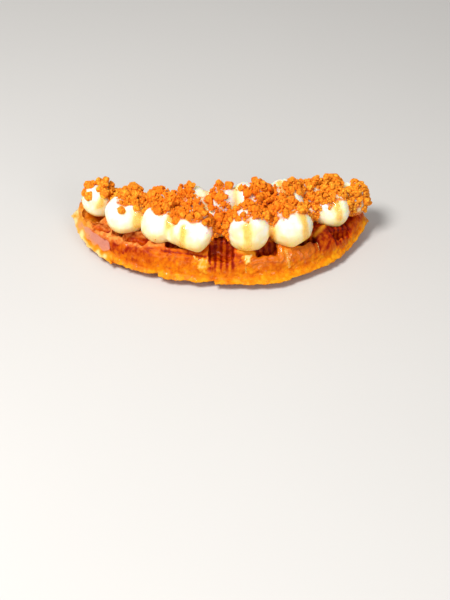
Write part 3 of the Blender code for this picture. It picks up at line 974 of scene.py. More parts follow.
DOLLOP_LIFT = 0.62
DOLLOP_SQUASH = 0.96
DOLLOP_UNEVENNESS = 0.10
DOLLOP_WAVES = 1.1
DOLLOP_SAG = 0.05
SAGGING_PART = (0.3, -0.7)
BED_SEGMENTS = 32
BED_RINGS = 90
BED_HALF_WIDTH = 10.0 * MM
BED_DEPTH = 5.0 * MM
BED_LIFT = 3.5 * MM
BED_REACH = 0.9
ROW_BLEND = math.radians(9.0)
LEAST_WEIGHT = 1.0e-6


# %% Shape the dollops and the bed


def middle_line(turn):
    """Distance out of the line midway between the two rows of dollops."""
    total = 0.0
    for row in (FRONT_DOLLOPS, BACK_DOLLOPS):
        weights = [bump(turn, math.radians(degrees), ROW_BLEND) + LEAST_WEIGHT for degrees, _, _ in row]
        total += sum(weight * out for weight, (_, out, _) in zip(weights, row)) / sum(weights)
    return total / 2.0


def bed_height(turn):
    """Height of the middle of the cream between the rows."""
    return crown_height(along_spine(turn)) + BED_LIFT


def add_dollop(centre, radius):
    """Ball of cream that sags a little and has an uneven skin."""
    item = add_ball("dollop", DOLLOP_SEGMENTS, DOLLOP_RINGS)

    def rule(co):
        uneven = 1.0 + DOLLOP_UNEVENNESS * noise.noise(co * DOLLOP_WAVES + centre / MM)
        sag = 1.0 + DOLLOP_SAG * smoothstep(*SAGGING_PART, co.z)
        return centre + radius * uneven * Vector((co.x * sag, co.y * sag, co.z * DOLLOP_SQUASH))

    move_points(item, rule)
    return item


def add_bed():
    """Low crescent of cream along the middle line of the rows."""
    item = add_ball("bed", BED_SEGMENTS, BED_RINGS)
    first = math.radians(FRONT_DOLLOPS[0][0])
    last = math.radians(FRONT_DOLLOPS[-1][0])

    def rule(co):
        turn = first + (last - first) * 0.5 * (1.0 + co.z)
        return place(turn, middle_line(turn) + BED_HALF_WIDTH * co.x, bed_height(turn) + BED_DEPTH * co.y)

    move_points(item, rule)
    return item


def dollop_centre(degrees, out, radius):
    """Centre of a dollop that rests on the dough."""
    turn = math.radians(degrees)
    return place(turn, out, crown_height(along_spine(turn)) + DOLLOP_LIFT * radius)


rows = FRONT_DOLLOPS + BACK_DOLLOPS + MERGING_DOLLOPS
dollops = [(dollop_centre(degrees, out, radius), radius) for degrees, out, radius in rows]
cream_parts = [add_dollop(centre, radius) for centre, radius in dollops]
cream_parts.append(add_bed())
print(len(cream_parts) - 1, "dollops and one bed")

# %% [markdown]
# A voxel remesh melts the balls into one skin, and smoothing rounds the creases between them.  Soft
# upright folds and dimples then keep the balls from looking like beads.  The cream rests on the dough: a
# copy of the dough without pockets is taken out of its underside.

# %% Melt the cream into one skin
CREAM_VOXEL = 0.6 * MM
SEAT_GAP = 0.1 * MM
CREAM_ROUNDS = 12
FOLD_HEIGHT = 1.1 * MM
FOLD_NOISE = (6.5 * MM, 71.0)
FOLD_UPRIGHTNESS = 0.45
DIMPLE_HEIGHT = 0.18 * MM
DIMPLE_NOISE = (2.8 * MM, 72.0)
SEAT_SEGMENTS = 80
SEAT_RINGS = 120

cream = join(cream_parts, "cream_dollops")
apply_modifier(cream, "REMESH", mode="VOXEL", voxel_size=CREAM_VOXEL, adaptivity=0.0)
apply_modifier(cream, "SMOOTH", factor=0.5, iterations=CREAM_ROUNDS)
skin = {tuple(vert.co): vert.normal.copy() for vert in cream.data.vertices}


def fold(co):
    """Point of the cream moved by its soft upright folds and dimples."""
    height = FOLD_HEIGHT * rough(Vector((co.x, co.y, FOLD_UPRIGHTNESS * co.z)), *FOLD_NOISE)
    return co + skin[tuple(co)] * (height + DIMPLE_HEIGHT * rough(co, *DIMPLE_NOISE))


move_points(cream, fold)
seat = add_dough("seat", SEAT_SEGMENTS, SEAT_RINGS)
apply_modifier(seat, "DISPLACE", strength=SEAT_GAP, mid_level=0.0)
apply_modifier(cream, "BOOLEAN", object=seat, operation="DIFFERENCE", solver="MANIFOLD")
remove(seat)
shade_smooth(cream)
print("cream:", triangles(cream), "triangles")

# %% [markdown]
# ## Caramel on the cream
#
# Thin caramel was trailed across the croffle, and it runs down the fronts of the balls.  Where it is thin
# it only stains the cream yellow, which the cream's material does from a value kept on the mesh.  Where it
# is thicker it stands on the cream as a film: a copy of that part of the skin, lifted and given a wall.
# Each drizzle has its turn in degrees, and in millimetres where it starts and ends across the croffle, how
# low it runs and half of its width.

# %% Where the caramel ran
DRIZZLES = (
    (-37.3, -6.0, 9.5, 18.5, 1.9),
    (-22.9, -1.0, 14.0, 19.0, 2.1),
    (-13.3, -2.0, 15.0, 25.5, 2.2),
    (-8.8, 16.5, 24.0, 16.0, 2.3),
    (7.0, 15.0, 24.0, 17.0, 3.4),
    (14.3, 0.0, 16.0, 18.0, 2.0),
    (22.0, -17.0, -1.0, 16.0, 2.0),
    (22.4, 9.0, 21.0, 19.0, 2.3),
    (36.2, -1.0, 12.0, 17.0, 2.4),
    (-29.0, -18.0, -7.0, 18.0, 1.5),
    (-8.0, -24.0, -14.0, 21.0, 1.7),
    (14.0, -26.0, -15.0, 20.0, 1.9),
    (31.0, -24.0, -12.0, 18.0, 1.5),
)
DRIZZLE_WANDER = 1.1 * MM
WANDER_NOISE = (7.0, 3.0)
DRIZZLE_BREADTHS = 3.0
WIDTH_CHANGE = 0.5
WIDTH_NOISE = (4.0 * MM, 9.0)
DRIZZLE_END = 1.5
DRIZZLE_FOOT = (-1.0, 2.5)
FOOT_WAVE = 1.2
FOOT_NOISE = (2.0 * MM, 7.0)


def drizzled(co, drizzles):
    """How much caramel lies at a point, from 0 to 1."""
    turn, out = turn_and_out(co)
    most = 0.0
    for degrees, first, last, lowest, half in drizzles:
        off = (turn - math.radians(degrees)) * (SPINE_RADIUS + out)
        off += DRIZZLE_WANDER * rough(Vector((degrees, 0.0, co.z / MM + out / MM)), *WANDER_NOISE)
        if abs(off) > DRIZZLE_BREADTHS * half * MM:
            continue
        half *= 1.0 + WIDTH_CHANGE * rough(co, *WIDTH_NOISE)
        begun = smoothstep(first - DRIZZLE_END, first + DRIZZLE_END, out / MM)
        ended = smoothstep(last - DRIZZLE_END, last + DRIZZLE_END, out / MM)
        height = co.z / MM + FOOT_WAVE * rough(co, *FOOT_NOISE)
        over_foot = smoothstep(lowest + DRIZZLE_FOOT[0], lowest + DRIZZLE_FOOT[1], height)
        most = max(most, begun * (1.0 - ended) * over_foot * bump(off, 0.0, half * MM))
    return most


FILM_LEAST = 0.62
FILM_LIFT = 0.03 * MM
FILM_WALL = 0.25 * MM
CREAM_FILM_HEIGHT = 0.30 * MM


def add_film(source, name, amounts, height):
    """Film of caramel on a piece where enough of it lies, thicker where there is more."""
    item = copy_of(source)
    item.name = name
    item.data.name = name
    normals = [vert.normal.copy() for vert in item.data.vertices]
    for vert, normal, amount in zip(item.data.vertices, normals, amounts):
        vert.co += normal * (FILM_LIFT + height * smoothstep(FILM_LEAST, 1.0, amount))
        vert.select = amount < FILM_LEAST
    for edge in item.data.edges:
        edge.select = False
    for face in item.data.polygons:
        face.select = False
    choose(item)
    bpy.ops.object.mode_set(mode="EDIT")
    bpy.ops.mesh.select_mode(type="VERT")
    bpy.ops.mesh.delete(type="VERT")
    bpy.ops.object.mode_set(mode="OBJECT")
    apply_modifier(item, "SMOOTH", factor=0.5, iterations=2)
    apply_modifier(item, "SOLIDIFY", thickness=FILM_WALL, offset=-1.0)
    shade_smooth(item)
    return item


sauce = [drizzled(vert.co, DRIZZLES) for vert in cream.data.vertices]
write_values(cream, "sauce", sauce)
cream_film = add_film(cream, "film_on_cream", sauce, CREAM_FILM_HEIGHT)
print("film on the cream:", triangles(cream_film), "triangles")

# %% [markdown]
# Cream gets a painted warm shade where little light gets in: on the undersides of the balls and in the
# creases between them.  A second value keeps where it lies for the material.

# %% Where the cream gets its painted warm shade
CREASE_REACH = 1.25
CREASE_SHADE = 0.8
FACING_DOWN = (0.45, -0.60)


def creased(co):
    """How near a point is to where two dollops meet, from 0 to 1."""
    nearest = sorted((co - centre).length / radius for centre, radius in dollops)
    return smoothstep(CREASE_REACH, 1.0, nearest[1])


# Painted shade: warm where the cream faces down and where two dollops meet.
painted_shade = []
for vert in cream.data.vertices:
    below = smoothstep(*FACING_DOWN, vert.normal.z)
    painted_shade.append(max(below, CREASE_SHADE * creased(vert.co)))
write_values(cream, "painted_shade", painted_shade)
print(sum(value > 0.5 for value in painted_shade), "of", len(painted_shade), "points of the cream are warm")

# %% [markdown]
# More of it ran off the cream and down the front of the crust, where it set as clear beads.

# %% Caramel beads on the crust
CRUST_RUNS = (
    (17.6, 14.0, 28.0, 6.5, 1.6),
    (6.9, 19.5, 28.0, 6.0, 1.1),
    (27.0, 10.0, 24.0, 9.5, 0.9),
)
CRUST_FILM_HEIGHT = 0.55 * MM

runs = [drizzled(vert.co, CRUST_RUNS) for vert in dough.data.vertices]
crust_film = add_film(dough, "film_on_crust", runs, CRUST_FILM_HEIGHT)
print("film on the crust:", triangles(crust_film), "triangles")

# %% [markdown]
# ## Where the crumbs lie
#
# Crushed biscuit was scattered over the cream and gathered in heaps, and some spots stayed bare.  The
# largest crumbs lie at the solid model's own seeded places, so they cover the same ones.  A heap has its
# turn, its distance out, its spread and its height, and a bare spot its turn, distance out and radius.

# %% Sizes, heaps and bare spots
SEED = 68
CRUMB_COUNT = 110
CRUMB_RADIUS = 2.0 * MM
CRUMB_SPREAD = 0.22
LEAST_CRUMB = 1.2 * MM
CRUMB_SINK = 0.30
CRUMB_REST = 0.8
CRUMB_FIRST_TURN = math.radians(-46.5)
CRUMB_LAST_TURN = math.radians(47.5)
CRUMB_BAND_FRONT = 15.0 * MM
CRUMB_BAND_BACK = 14.0 * MM
PILE_HEIGHT = 1.5 * MM
CRUMB_TRIES = 6000
HEAPS = (
    (36.5, -4.0 * MM, 7.0 * MM, 4.0 * MM),
    (46.0, 2.0 * MM, 6.0 * MM, 2.5 * MM),
    (-40.5, 1.0 * MM, 6.0 * MM, 3.0 * MM),
    (15.0, -8.0 * MM, 8.0 * MM, 2.0 * MM),
    (-14.0, 1.0 * MM, 9.0 * MM, 2.0 * MM),
)
BARE_SPOTS = (
    (5.0, -8.0 * MM, 6.0 * MM),
    (-6.0, -14.0 * MM, 7.0 * MM),
    (22.0, -17.0 * MM, 6.0 * MM),
    (8.0, -17.0 * MM, 6.0 * MM),
    (4.5, 1.0 * MM, 3.5 * MM),
    (6.0, 9.0 * MM, 3.0 * MM),
    (-32.5, 10.0 * MM, 6.0 * MM),
    (-24.5, 12.0 * MM, 4.5 * MM),
    (-21.0, 10.5 * MM, 4.5 * MM),
    (-13.7, 12.5 * MM, 3.0 * MM),
    (32.0, 5.5 * MM, 4.0 * MM),
)


heaps = [(place(math.radians(degrees), out, 0.0), spread, height) for degrees, out, spread, height in HEAPS]
bare_spots = [(place(math.radians(degrees), out, 0.0), radius) for degrees, out, radius in BARE_SPOTS]
print(len(heaps), "heaps and", len(bare_spots), "bare spots")

# %% How high the cream and the crumbs reach


def cream_height(turn, out):
    """Height of the top of the cream at a place seen from above, or None where there is none."""
    spot = place(turn, out, 0.0)
    found = []
    for centre, radius in dollops:
        room = radius ** 2 - (spot.x - centre.x) ** 2 - (spot.y - centre.y) ** 2
        if room > 0.0:
            found.append(centre.z + DOLLOP_SQUASH * math.sqrt(room))
    off_middle = (out - middle_line(turn)) / BED_HALF_WIDTH
    if abs(off_middle) < BED_REACH:
        found.append(bed_height(turn) + BED_DEPTH * math.sqrt(1.0 - off_middle ** 2))
    return max(found, default=None)


def pile_limit(spot):
    """How high crumbs may pile over the cream at a place."""
    raised = (height * bump((spot - centre).xy.length, 0.0, spread) for centre, spread, height in heaps)
    return PILE_HEIGHT + sum(raised)


def top_of(crumbs, spot, low):
    """Height of the top of the crumbs under a place, or the low height where there are none."""
    top = low
    for centre, radius in crumbs:
        room = radius ** 2 - (centre.x - spot.x) ** 2 - (centre.y - spot.y) ** 2
        if room > 0.0:
            top = max(top, centre.z + CRUMB_REST * math.sqrt(room))
    return top


# %% Place the largest crumbs
draw = random.Random(SEED)
sizes = [CRUMB_RADIUS * math.exp(draw.gauss(0.0, CRUMB_SPREAD)) for _ in range(CRUMB_COUNT)]
radii = sorted((max(LEAST_CRUMB, size) for size in sizes), reverse=True)
crumbs = []
for _ in range(CRUMB_TRIES):
    if len(crumbs) == len(radii):
        break
    radius = radii[len(crumbs)]
    turn = draw.uniform(CRUMB_FIRST_TURN, CRUMB_LAST_TURN)
    out = middle_line(turn) + draw.uniform(-CRUMB_BAND_BACK, CRUMB_BAND_FRONT)
    cream_top = cream_height(turn, out)
    spot = place(turn, out, 0.0)
    if cream_top is None or any((spot - centre).length < size for centre, size in bare_spots):
        continue
    top = top_of(crumbs, spot, cream_top)
    if top - cream_top <= pile_limit(spot):
        spot.z = top + (1.0 - 2.0 * CRUMB_SINK) * radius
        crumbs.append((spot, radius))


def touches(crumb):
    """Whether a crumb lies against a dollop or another crumb."""
    centre, radius = crumb
    others = [other for other in dollops + crumbs if other is not crumb]
    return any((centre - other).length < radius + size for other, size in others)


crumbs = [crumb for crumb in crumbs if touches(crumb)]
print(len(crumbs), "of the largest crumbs placed")

# %% [markdown]
# Between and beyond them lie smaller crumbs and fine grains.  How likely a crumb lies at a point comes
# from the front and back edges of the scatter, as pairs of turn and distance out, and from its bare and
# thin spots.  The same chance is kept on the cream, whose material shows the crumbs' dust there.

# %% How far the scatter reaches
FRONT_EDGE = (
    (-47.0, -2.0), (-40.4, 0.8), (-36.0, 3.5), (-31.0, 8.5), (-26.0, 10.5), (-22.5, 8.0), (-17.3, 11.0),
    (-12.0, 11.0), (-7.3, 15.5), (-3.5, 14.0), (1.0, 15.5), (4.0, 12.0), (7.1, 16.0), (13.9, 11.0),
    (18.6, 13.5), (25.0, 12.5), (29.0, 6.0), (35.9, 4.5), (41.0, 8.0), (48.0, 10.0),
)
BACK_EDGE = (
    (-47.0, -4.0), (-31.0, -12.0), (-20.0, -14.0), (-9.5, -16.0),
    (12.5, -18.5), (33.5, -17.0), (48.0, -5.0),
)
THIN_SPOTS = (
    (3.5, -16.0, 6.0), (-17.0, -13.0, 4.0), (-3.0, -3.0, 4.0),
    (12.0, 4.0, 3.0), (-8.0, 4.0, 3.0), (27.0, -3.0, 4.0), (46.5, -2.0, 6.0),
)
EDGE_WAVE = 1.5
WAVE_NOISE = (4.0 * MM, 61.0)
FRONT_FADE = (-1.0, 1.0)
BACK_FADE = (-1.5, 1.5)
BARE_FADE = 0.75
THIN_FADE = 0.7
THIN_COVER = 0.35
COVER_NOISE = (5.0 * MM, 62.0)
COVER_RANGE = (-0.35, 0.05)


def cover(point, radius, stray):
    """Chance, from 0 to 1, that a crumb of a radius lies at a point."""
    turn, out = turn_and_out(point)
    degrees, out = math.degrees(turn), out / MM
    wave = EDGE_WAVE * rough(point, *WAVE_NOISE)
    share = smoothstep(*FRONT_FADE, edge_at(FRONT_EDGE, degrees) - radius / MM - out + wave)
    share *= smoothstep(*BACK_FADE, out - edge_at(BACK_EDGE, degrees) + wave)
    for centre, size in bare_spots:
        share *= smoothstep(BARE_FADE * size, size, (point - centre).xy.length + wave * MM)
    for spot_degrees, spot_out, size in THIN_SPOTS:
        centre = place(math.radians(spot_degrees), spot_out * MM, 0.0)
        share *= smoothstep(THIN_FADE * size, size, (point - centre).xy.length / MM + wave)
    patchy = smoothstep(*COVER_RANGE, rough(point, *COVER_NOISE))
    return max(share * (THIN_COVER + (1.0 - THIN_COVER) * patchy), stray)


dust = [cover(vert.co, 0.0, 0.0) for vert in cream.data.vertices]
write_values(cream, "dust", dust)
print(round(100.0 * sum(dust) / len(dust)), "% of the cream's points are dusted")

# %% [markdown]
# Each crumb is dropped on a point of the cream that is picked evenly over its area, and kept where the
# scatter reaches.  A crumb that would land on another one lies on top of it, as high as the heap allows.

# %% Find near crumbs and points of the cream
GRID = 6.0 * MM


class Neighbours:
    """Crumbs sorted into squares seen from above, so that the near ones are found quickly."""

    def __init__(self):
        self.squares = {}

    def add(self, crumb):
        key = (int(crumb[0].x // GRID), int(crumb[0].y // GRID))
        self.squares.setdefault(key, []).append(crumb)

    def near(self, spot):
        column, row = int(spot.x // GRID), int(spot.y // GRID)
        found = []
        for x in (column - 1, column, column + 1):
            for y in (row - 1, row, row + 1):
                found.extend(self.squares.get((x, y), ()))
        return found


def surface_points(item, count, draw):
    """Points picked evenly over the area of a piece, with the surface's direction there."""
    mesh = item.data
    mesh.calc_loop_triangles()
    faces = mesh.loop_triangles
    corners = [tuple(mesh.vertices[index].co for index in face.vertices) for face in faces]
    areas = [face.area for face in faces]
    for index in draw.choices(range(len(corners)), weights=areas, k=count):
        a, b, c = corners[index]
        share, rest = draw.random(), draw.random()
        if share + rest > 1.0:
            share, rest = 1.0 - share, 1.0 - rest
        yield a + share * (b - a) + rest * (c - a), faces[index].normal.copy()


# %% Drop the smaller crumbs
LOWEST_FACING = -0.35
LEAST_LEVEL = 0.35
SMALL_SHARE = 1.4

neighbours = Neighbours()
for crumb in crumbs:
    neighbours.add(crumb)


def drop(count, tries, smallest, largest, stray, overlap, seed):
    """Crumbs between two sizes, dropped on the cream and on the crumbs that are already there."""
    draw = random.Random(seed)
    kept = []
    for point, normal in surface_points(cream, tries, draw):
        if len(kept) == count:
            break
        radius = smallest * (largest / smallest) ** (draw.random() ** SMALL_SHARE)
        if draw.random() > cover(point, radius, stray) or normal.z < LOWEST_FACING:
            continue
        centre = point + normal * (1.0 - 2.0 * CRUMB_SINK) * radius
        near = neighbours.near(centre)
        if any((other - centre).length < overlap * (size + radius) for other, size in near):
            if normal.z < LEAST_LEVEL:
                continue
            top = top_of(near, centre, point.z)
            if top - point.z > pile_limit(centre):
                continue
            centre.z = top + (1.0 - 2.0 * CRUMB_SINK) * radius
        kept.append((centre, radius))
        neighbours.add(kept[-1])
    return kept


large = crumbs + drop(300, 20000, 1.15 * MM, 1.9 * MM, stray=0.0, overlap=0.72, seed=11)
small = drop(1500, 50000, 0.55 * MM, 1.1 * MM, stray=0.001, overlap=0.66, seed=12)
fine = drop(2600, 70000, 0.16 * MM, 0.45 * MM, stray=0.002, overlap=0.60, seed=13)
print(len(large), "large crumbs,", len(small), "small ones and", len(fine), "grains")

# %% [markdown]
# ## Crumbs
#
# A biscuit breaks into lumps of its own grains: rounded, with cracks between the grains and a few flat
# broken sides.  Some shapes of each size are modelled once, as a ball with few points that is pulled out
# of shape and cut flat on some sides.

# %% Shapes of crumbs
CRUMB_STRETCH = (0.85, 1.15)
NOISE_ROOM = 50.0
BROKEN_SIDES = 9
SIDE_REACH = (0.66, 0.88)
SIDE_FLATNESS = 0.9
CRUMB_SIZE = 1.10
CRACK_WIDTH = 0.30
CRACK_DEPTH = 0.16
CRUMB_SWELL = 0.16
SWELL_WAVES = 1.7


def crumb_shape(subdivisions, grain, seed):
    """Lump of a unit radius: its points, its faces and how deep in a crack each point is."""
    draw = random.Random(seed)
    deselect()
    bpy.ops.mesh.primitive_ico_sphere_add(subdivisions=subdivisions, radius=1.0)
    item = bpy.context.object
    stretch = Vector([draw.uniform(*CRUMB_STRETCH) for _ in range(3)])
    offset = Vector([draw.uniform(0.0, NOISE_ROOM) for _ in range(3)])
    cuts = []
    for _ in range(BROKEN_SIDES):
        direction = Vector([draw.gauss(0.0, 1.0) for _ in range(3)]).normalized()
        cuts.append((direction, draw.uniform(*SIDE_REACH)))
    cracks = []

    def rule(co):
        distances, _ = noise.voronoi(co * grain + offset)
        crack = 1.0 - smoothstep(0.0, CRACK_WIDTH, distances[1] - distances[0])
        cracks.append(crack)
        swell = CRUMB_SWELL * noise.noise(co * SWELL_WAVES + offset)
        co = co * (CRUMB_SIZE - CRACK_DEPTH * crack + swell)
        co = Vector([value * size for value, size in zip(co, stretch)])
        for direction, reach in cuts:
            over = co.dot(direction) - reach
            if over > 0.0:
                co -= SIDE_FLATNESS * over * direction
        return co

    move_points(item, rule)
    points = [vert.co.copy() for vert in item.data.vertices]
    faces = [tuple(face.vertices) for face in item.data.polygons]
    remove(item)
    return points, faces, cracks


large_shapes = [crumb_shape(3, 1.3, 100 + number) for number in range(10)]
small_shapes = [crumb_shape(2, 1.1, 200 + number) for number in range(6)]
fine_shapes = [crumb_shape(1, 1.0, 300 + number) for number in range(4)]
for shapes in (large_shapes, small_shapes, fine_shapes):
    print(len(shapes), "shapes of", len(shapes[0][1]), "faces")

# %% [markdown]
# Copies of the shapes are turned and scaled into place and joined into one piece for each kind.  Two
# values are kept for the material: how deep in a crack a point lies, where it paints shade, and a
# number for each crumb that sets how light it was baked.  The crumbs at the two ends of the croffle are
# the lightest.

# %% Scatter the crumbs
CRUMB_SHARP_ANGLE = math.radians(38.0)
LIGHT_BY_CHANCE = 0.55
LIGHT_BY_PLACE = 0.45
LIGHT_ENDS = (20.0 * MM, 60.0 * MM)


def scatter(name, places, shapes, seed):
    """One piece with a turned and scaled copy of a shape at each place."""
    draw = random.Random(seed)
    points, faces, cracks, bakes = [], [], [], []
    for centre, radius in places:
        shape_points, shape_faces, shape_cracks = draw.choice(shapes)
        axis = Vector([draw.gauss(0.0, 1.0) for _ in range(3)]).normalized()
        turned = Matrix.Rotation(draw.uniform(0.0, math.tau), 3, axis) * radius
        first = len(points)
        points.extend(turned @ point + centre for point in shape_points)
        faces.extend(tuple(index + first for index in face) for face in shape_faces)
        cracks.extend(shape_cracks)
        lightness = LIGHT_BY_CHANCE * draw.random()
        lightness += LIGHT_BY_PLACE * smoothstep(*LIGHT_ENDS, abs(centre.x))
        bakes.extend([lightness] * len(shape_points))
    mesh = bpy.data.meshes.new(name)
    mesh.from_pydata(points, [], faces)
    item = bpy.data.objects.new(name, mesh)
    bpy.context.collection.objects.link(item)
    write_values(item, "crack", cracks)
    write_values(item, "bake", bakes)
    choose(item)
    bpy.ops.object.shade_smooth_by_angle(angle=CRUMB_SHARP_ANGLE)
    return item


large_crumbs = scatter("crumbs_large", large, large_shapes, 21)
small_crumbs = scatter("crumbs_small", small, small_shapes, 22)
fine_grains = scatter("crumbs_fine", fine, fine_shapes, 23)
for item in (large_crumbs, small_crumbs, fine_grains):
    print(item.name, triangles(item), "triangles")

# %% [markdown]
# ## Materials
#
# Every finish is a Principled shader.  What is the same all over is set on the shader itself, and nodes
# give what changes from place to place.  Patterns are laid on Object coordinates, which are metres here.

# %% Material helpers


def linear(red, green, blue):
    """Linear colour of an eight-bit one."""
    def curve(value):
        value /= 255.0
        return value / 12.92 if value <= 0.04045 else ((value + 0.055) / 1.055) ** 2.4
    return (curve(red), curve(green), curve(blue), 1.0)


def add_node(tree, kind, inputs=None, **settings):
    """Node with its settings, and its inputs each linked to a socket or set to a value."""
    node = tree.nodes.new("ShaderNode" + kind)
    for name, value in settings.items():
        setattr(node, name, value)
    for name, value in (inputs or {}).items():
        if isinstance(value, bpy.types.NodeSocket):
            tree.links.new(value, node.inputs[name])
        else:
            node.inputs[name].default_value = value
    return node


# %% Patterns, masks and mixes


def object_coordinates(tree, stretch=(1.0, 1.0, 1.0)):
    """Object coordinates, squeezed along an axis where its stretch is under 1."""
    coordinates = add_node(tree, "TexCoord").outputs["Object"]
    if stretch == (1.0, 1.0, 1.0):
        return coordinates
    return add_node(tree, "Mapping", {"Vector": coordinates, "Scale": stretch}).outputs["Vector"]


def patches(tree, size, detail=2.0, stretch=(1.0, 1.0, 1.0)):
    """Soft noise from 0 to 1 with patches of about one size."""
    vector = object_coordinates(tree, stretch)
    inputs = {"Vector": vector, "Scale": 1.0 / size, "Detail": detail}
    return add_node(tree, "TexNoise", inputs).outputs["Fac"]


def remap(tree, value, low, high, to_low=0.0, to_high=1.0):
    """Value brought from one range to another and kept within it."""
    inputs = {"Value": value, "From Min": low, "From Max": high, "To Min": to_low, "To Max": to_high}
    return add_node(tree, "MapRange", inputs, clamp=True).outputs["Result"]


def math_node(tree, operation, first, second):
    """Result of an operation on two values."""
    node = add_node(tree, "Math", operation=operation)
    for socket, value in zip(node.inputs, (first, second)):
        if isinstance(value, bpy.types.NodeSocket):
            tree.links.new(value, socket)
        else:
            socket.default_value = value
    return node.outputs["Value"]


def mixed(tree, factor, first, second):
    """Colour between two colours."""
    inputs = {"Factor": factor, "A": first, "B": second}
    return add_node(tree, "Mix", inputs, data_type="RGBA").outputs["Result"]


def painted(tree, base, tone, mask, low, high, most=1.0):
    """Base colour covered by a tone as far as a mask rises from low to high."""
    return mixed(tree, remap(tree, mask, low, high, 0.0, most), base, linear(*tone))


def attribute(tree, name):
    """Value kept on the mesh under a name."""
    return add_node(tree, "Attribute", attribute_name=name).outputs["Fac"]


def new_material(name, **sockets):
    """Principled material, with what is the same all over set on the shader's own sockets."""
    material = bpy.data.materials.new(name)
    material.use_nodes = True
    shader = material.node_tree.nodes["Principled BSDF"]
    for socket, value in sockets.items():
        shader.inputs[socket.replace("_", " ")].default_value = value
    return material, material.node_tree, shader


# %% [markdown]
# The crust and the crumbs are both baked dough, so they share a fine grain.  It is a node group, built
# once, that gives a height for their bump.  Each material places it with a size of its own.

# %% Fine grain of baked dough
PORE_SHARE = 0.5

grain_group = bpy.data.node_groups.new("baked grain", "ShaderNodeTree")
grain_group.interface.new_socket("Size", in_out="INPUT", socket_type="NodeSocketFloat")
grain_group.interface.new_socket("Height", in_out="OUTPUT", socket_type="NodeSocketFloat")
group_in = grain_group.nodes.new("NodeGroupInput")
group_out = grain_group.nodes.new("NodeGroupOutput")
scale = math_node(grain_group, "DIVIDE", 1.0, group_in.outputs["Size"])
coordinates = object_coordinates(grain_group)
coarse_inputs = {"Vector": coordinates, "Scale": scale, "Detail": 3.0}
coarse = add_node(grain_group, "TexNoise", coarse_inputs).outputs["Fac"]
pores = add_node(grain_group, "TexVoronoi", {"Vector": coordinates, "Scale": scale}).outputs["Distance"]
height = math_node(grain_group, "ADD", coarse, math_node(grain_group, "MULTIPLY", pores, PORE_SHARE))
grain_group.links.new(height, group_out.inputs["Height"])
print("the baked grain has", len(grain_group.nodes), "nodes")


def grain(tree, size):
    """Height of the fine grain of baked dough in a material."""
    node = add_node(tree, "Group", {}, node_tree=grain_group)
    node.inputs["Size"].default_value = size
    return node.outputs["Height"]


def add_bump(tree, shader, height, depth, strength):
    """Bump from a height to a shader."""
    inputs = {"Height": height, "Distance": depth, "Strength": strength}
    tree.links.new(add_node(tree, "Bump", inputs).outputs["Normal"], shader.inputs["Normal"])


# %% [markdown]
# The crust is golden where it is pale and dark red where the sugar burnt, dull where it is dry and wet in
# spots.  A painted picture could show this, but the values kept on the mesh already say what each point
# is like, so a ramp of tones colours them and a few noises break them up.

# %% Crust
CRUST_TONES = (
    (0.00, (224, 148, 12)), (0.14, (219, 124, 5)), (0.32, (210, 104, 3)),
    (0.52, (190, 78, 2)), (0.72, (152, 34, 2)), (1.00, (100, 10, 3)),
)
DARK_SHREDS, LIGHT_SHREDS = (200, 98, 34), (236, 156, 74)
PAINTED_SHEEN_TONE = (206, 132, 110)
GOLDEN, PALE_DOUGH = (228, 154, 34), (238, 208, 140)
SPECK_TONE = (120, 38, 6)
SYRUP_TONE = (212, 112, 8)
MOST_NOISE = (0.3, 0.7)
STREAK_TOAST = 0.12
BLOTCH_TOAST = 0.13


def tone_ramp(tree, value, tones):
    """Colour of a value along a row of tones."""
    node = add_node(tree, "ValToRGB", {"Fac": value})
    steps = node.color_ramp.elements
    while len(steps) < len(tones):
        steps.new(1.0)
    for step, (position, colour) in zip(steps, tones):
        step.position = position
        step.color = linear(*colour)
    return node.outputs["Color"]


crust, tree, shader = new_material("baked crust", Specular_IOR_Level=0.08, Coat_Roughness=0.08)
kept_toast, torn, glazed = attribute(tree, "toast"), attribute(tree, "torn"), attribute(tree, "glazed")
pale, syrup = attribute(tree, "pale"), attribute(tree, "syrup")
streaks = patches(tree, 1.6 * MM, 3.0, (1.0, 1.0, 0.3))
blotches = patches(tree, 4.0 * MM, 3.0)
toast = math_node(tree, "ADD", kept_toast, remap(tree, streaks, *MOST_NOISE, -STREAK_TOAST, STREAK_TOAST))
toast = math_node(tree, "ADD", toast, remap(tree, blotches, *MOST_NOISE, -BLOTCH_TOAST, BLOTCH_TOAST))
base = tone_ramp(tree, toast, CRUST_TONES)
shreds = remap(tree, patches(tree, 2.0 * MM, 4.0), 0.38, 0.62)
shreds = mixed(tree, shreds, linear(*DARK_SHREDS), linear(*LIGHT_SHREDS))
base = mixed(tree, remap(tree, torn, 0.0, 1.0, 0.0, 0.85), base, shreds)
# Painted pink reflection on the glazed band.
base = painted(tree, base, PAINTED_SHEEN_TONE, glazed, 0.25, 0.8, 0.85)
base = painted(tree, base, GOLDEN, pale, 0.05, 0.5, 0.8)
base = painted(tree, base, PALE_DOUGH, pale, 0.5, 1.0)
base = painted(tree, base, SPECK_TONE, patches(tree, 0.9 * MM, 2.0), 0.66, 0.74, 0.6)
base = painted(tree, base, SYRUP_TONE, syrup, 0.0, 1.0, 0.6)
tree.links.new(base, shader.inputs["Base Color"])
print(crust.name, "has", len(tree.nodes), "nodes")

# %% [markdown]
# The coat is the wet look: it lies in spots where the crust isn't too dark, on the syrup and on the glazed
# band.  What is dry is rough, and the shared grain gives it its bump.

# %% Gloss and grain of the crust
ROUGHNESS = (0.30, 0.50)
DRY_COAT = 0.15

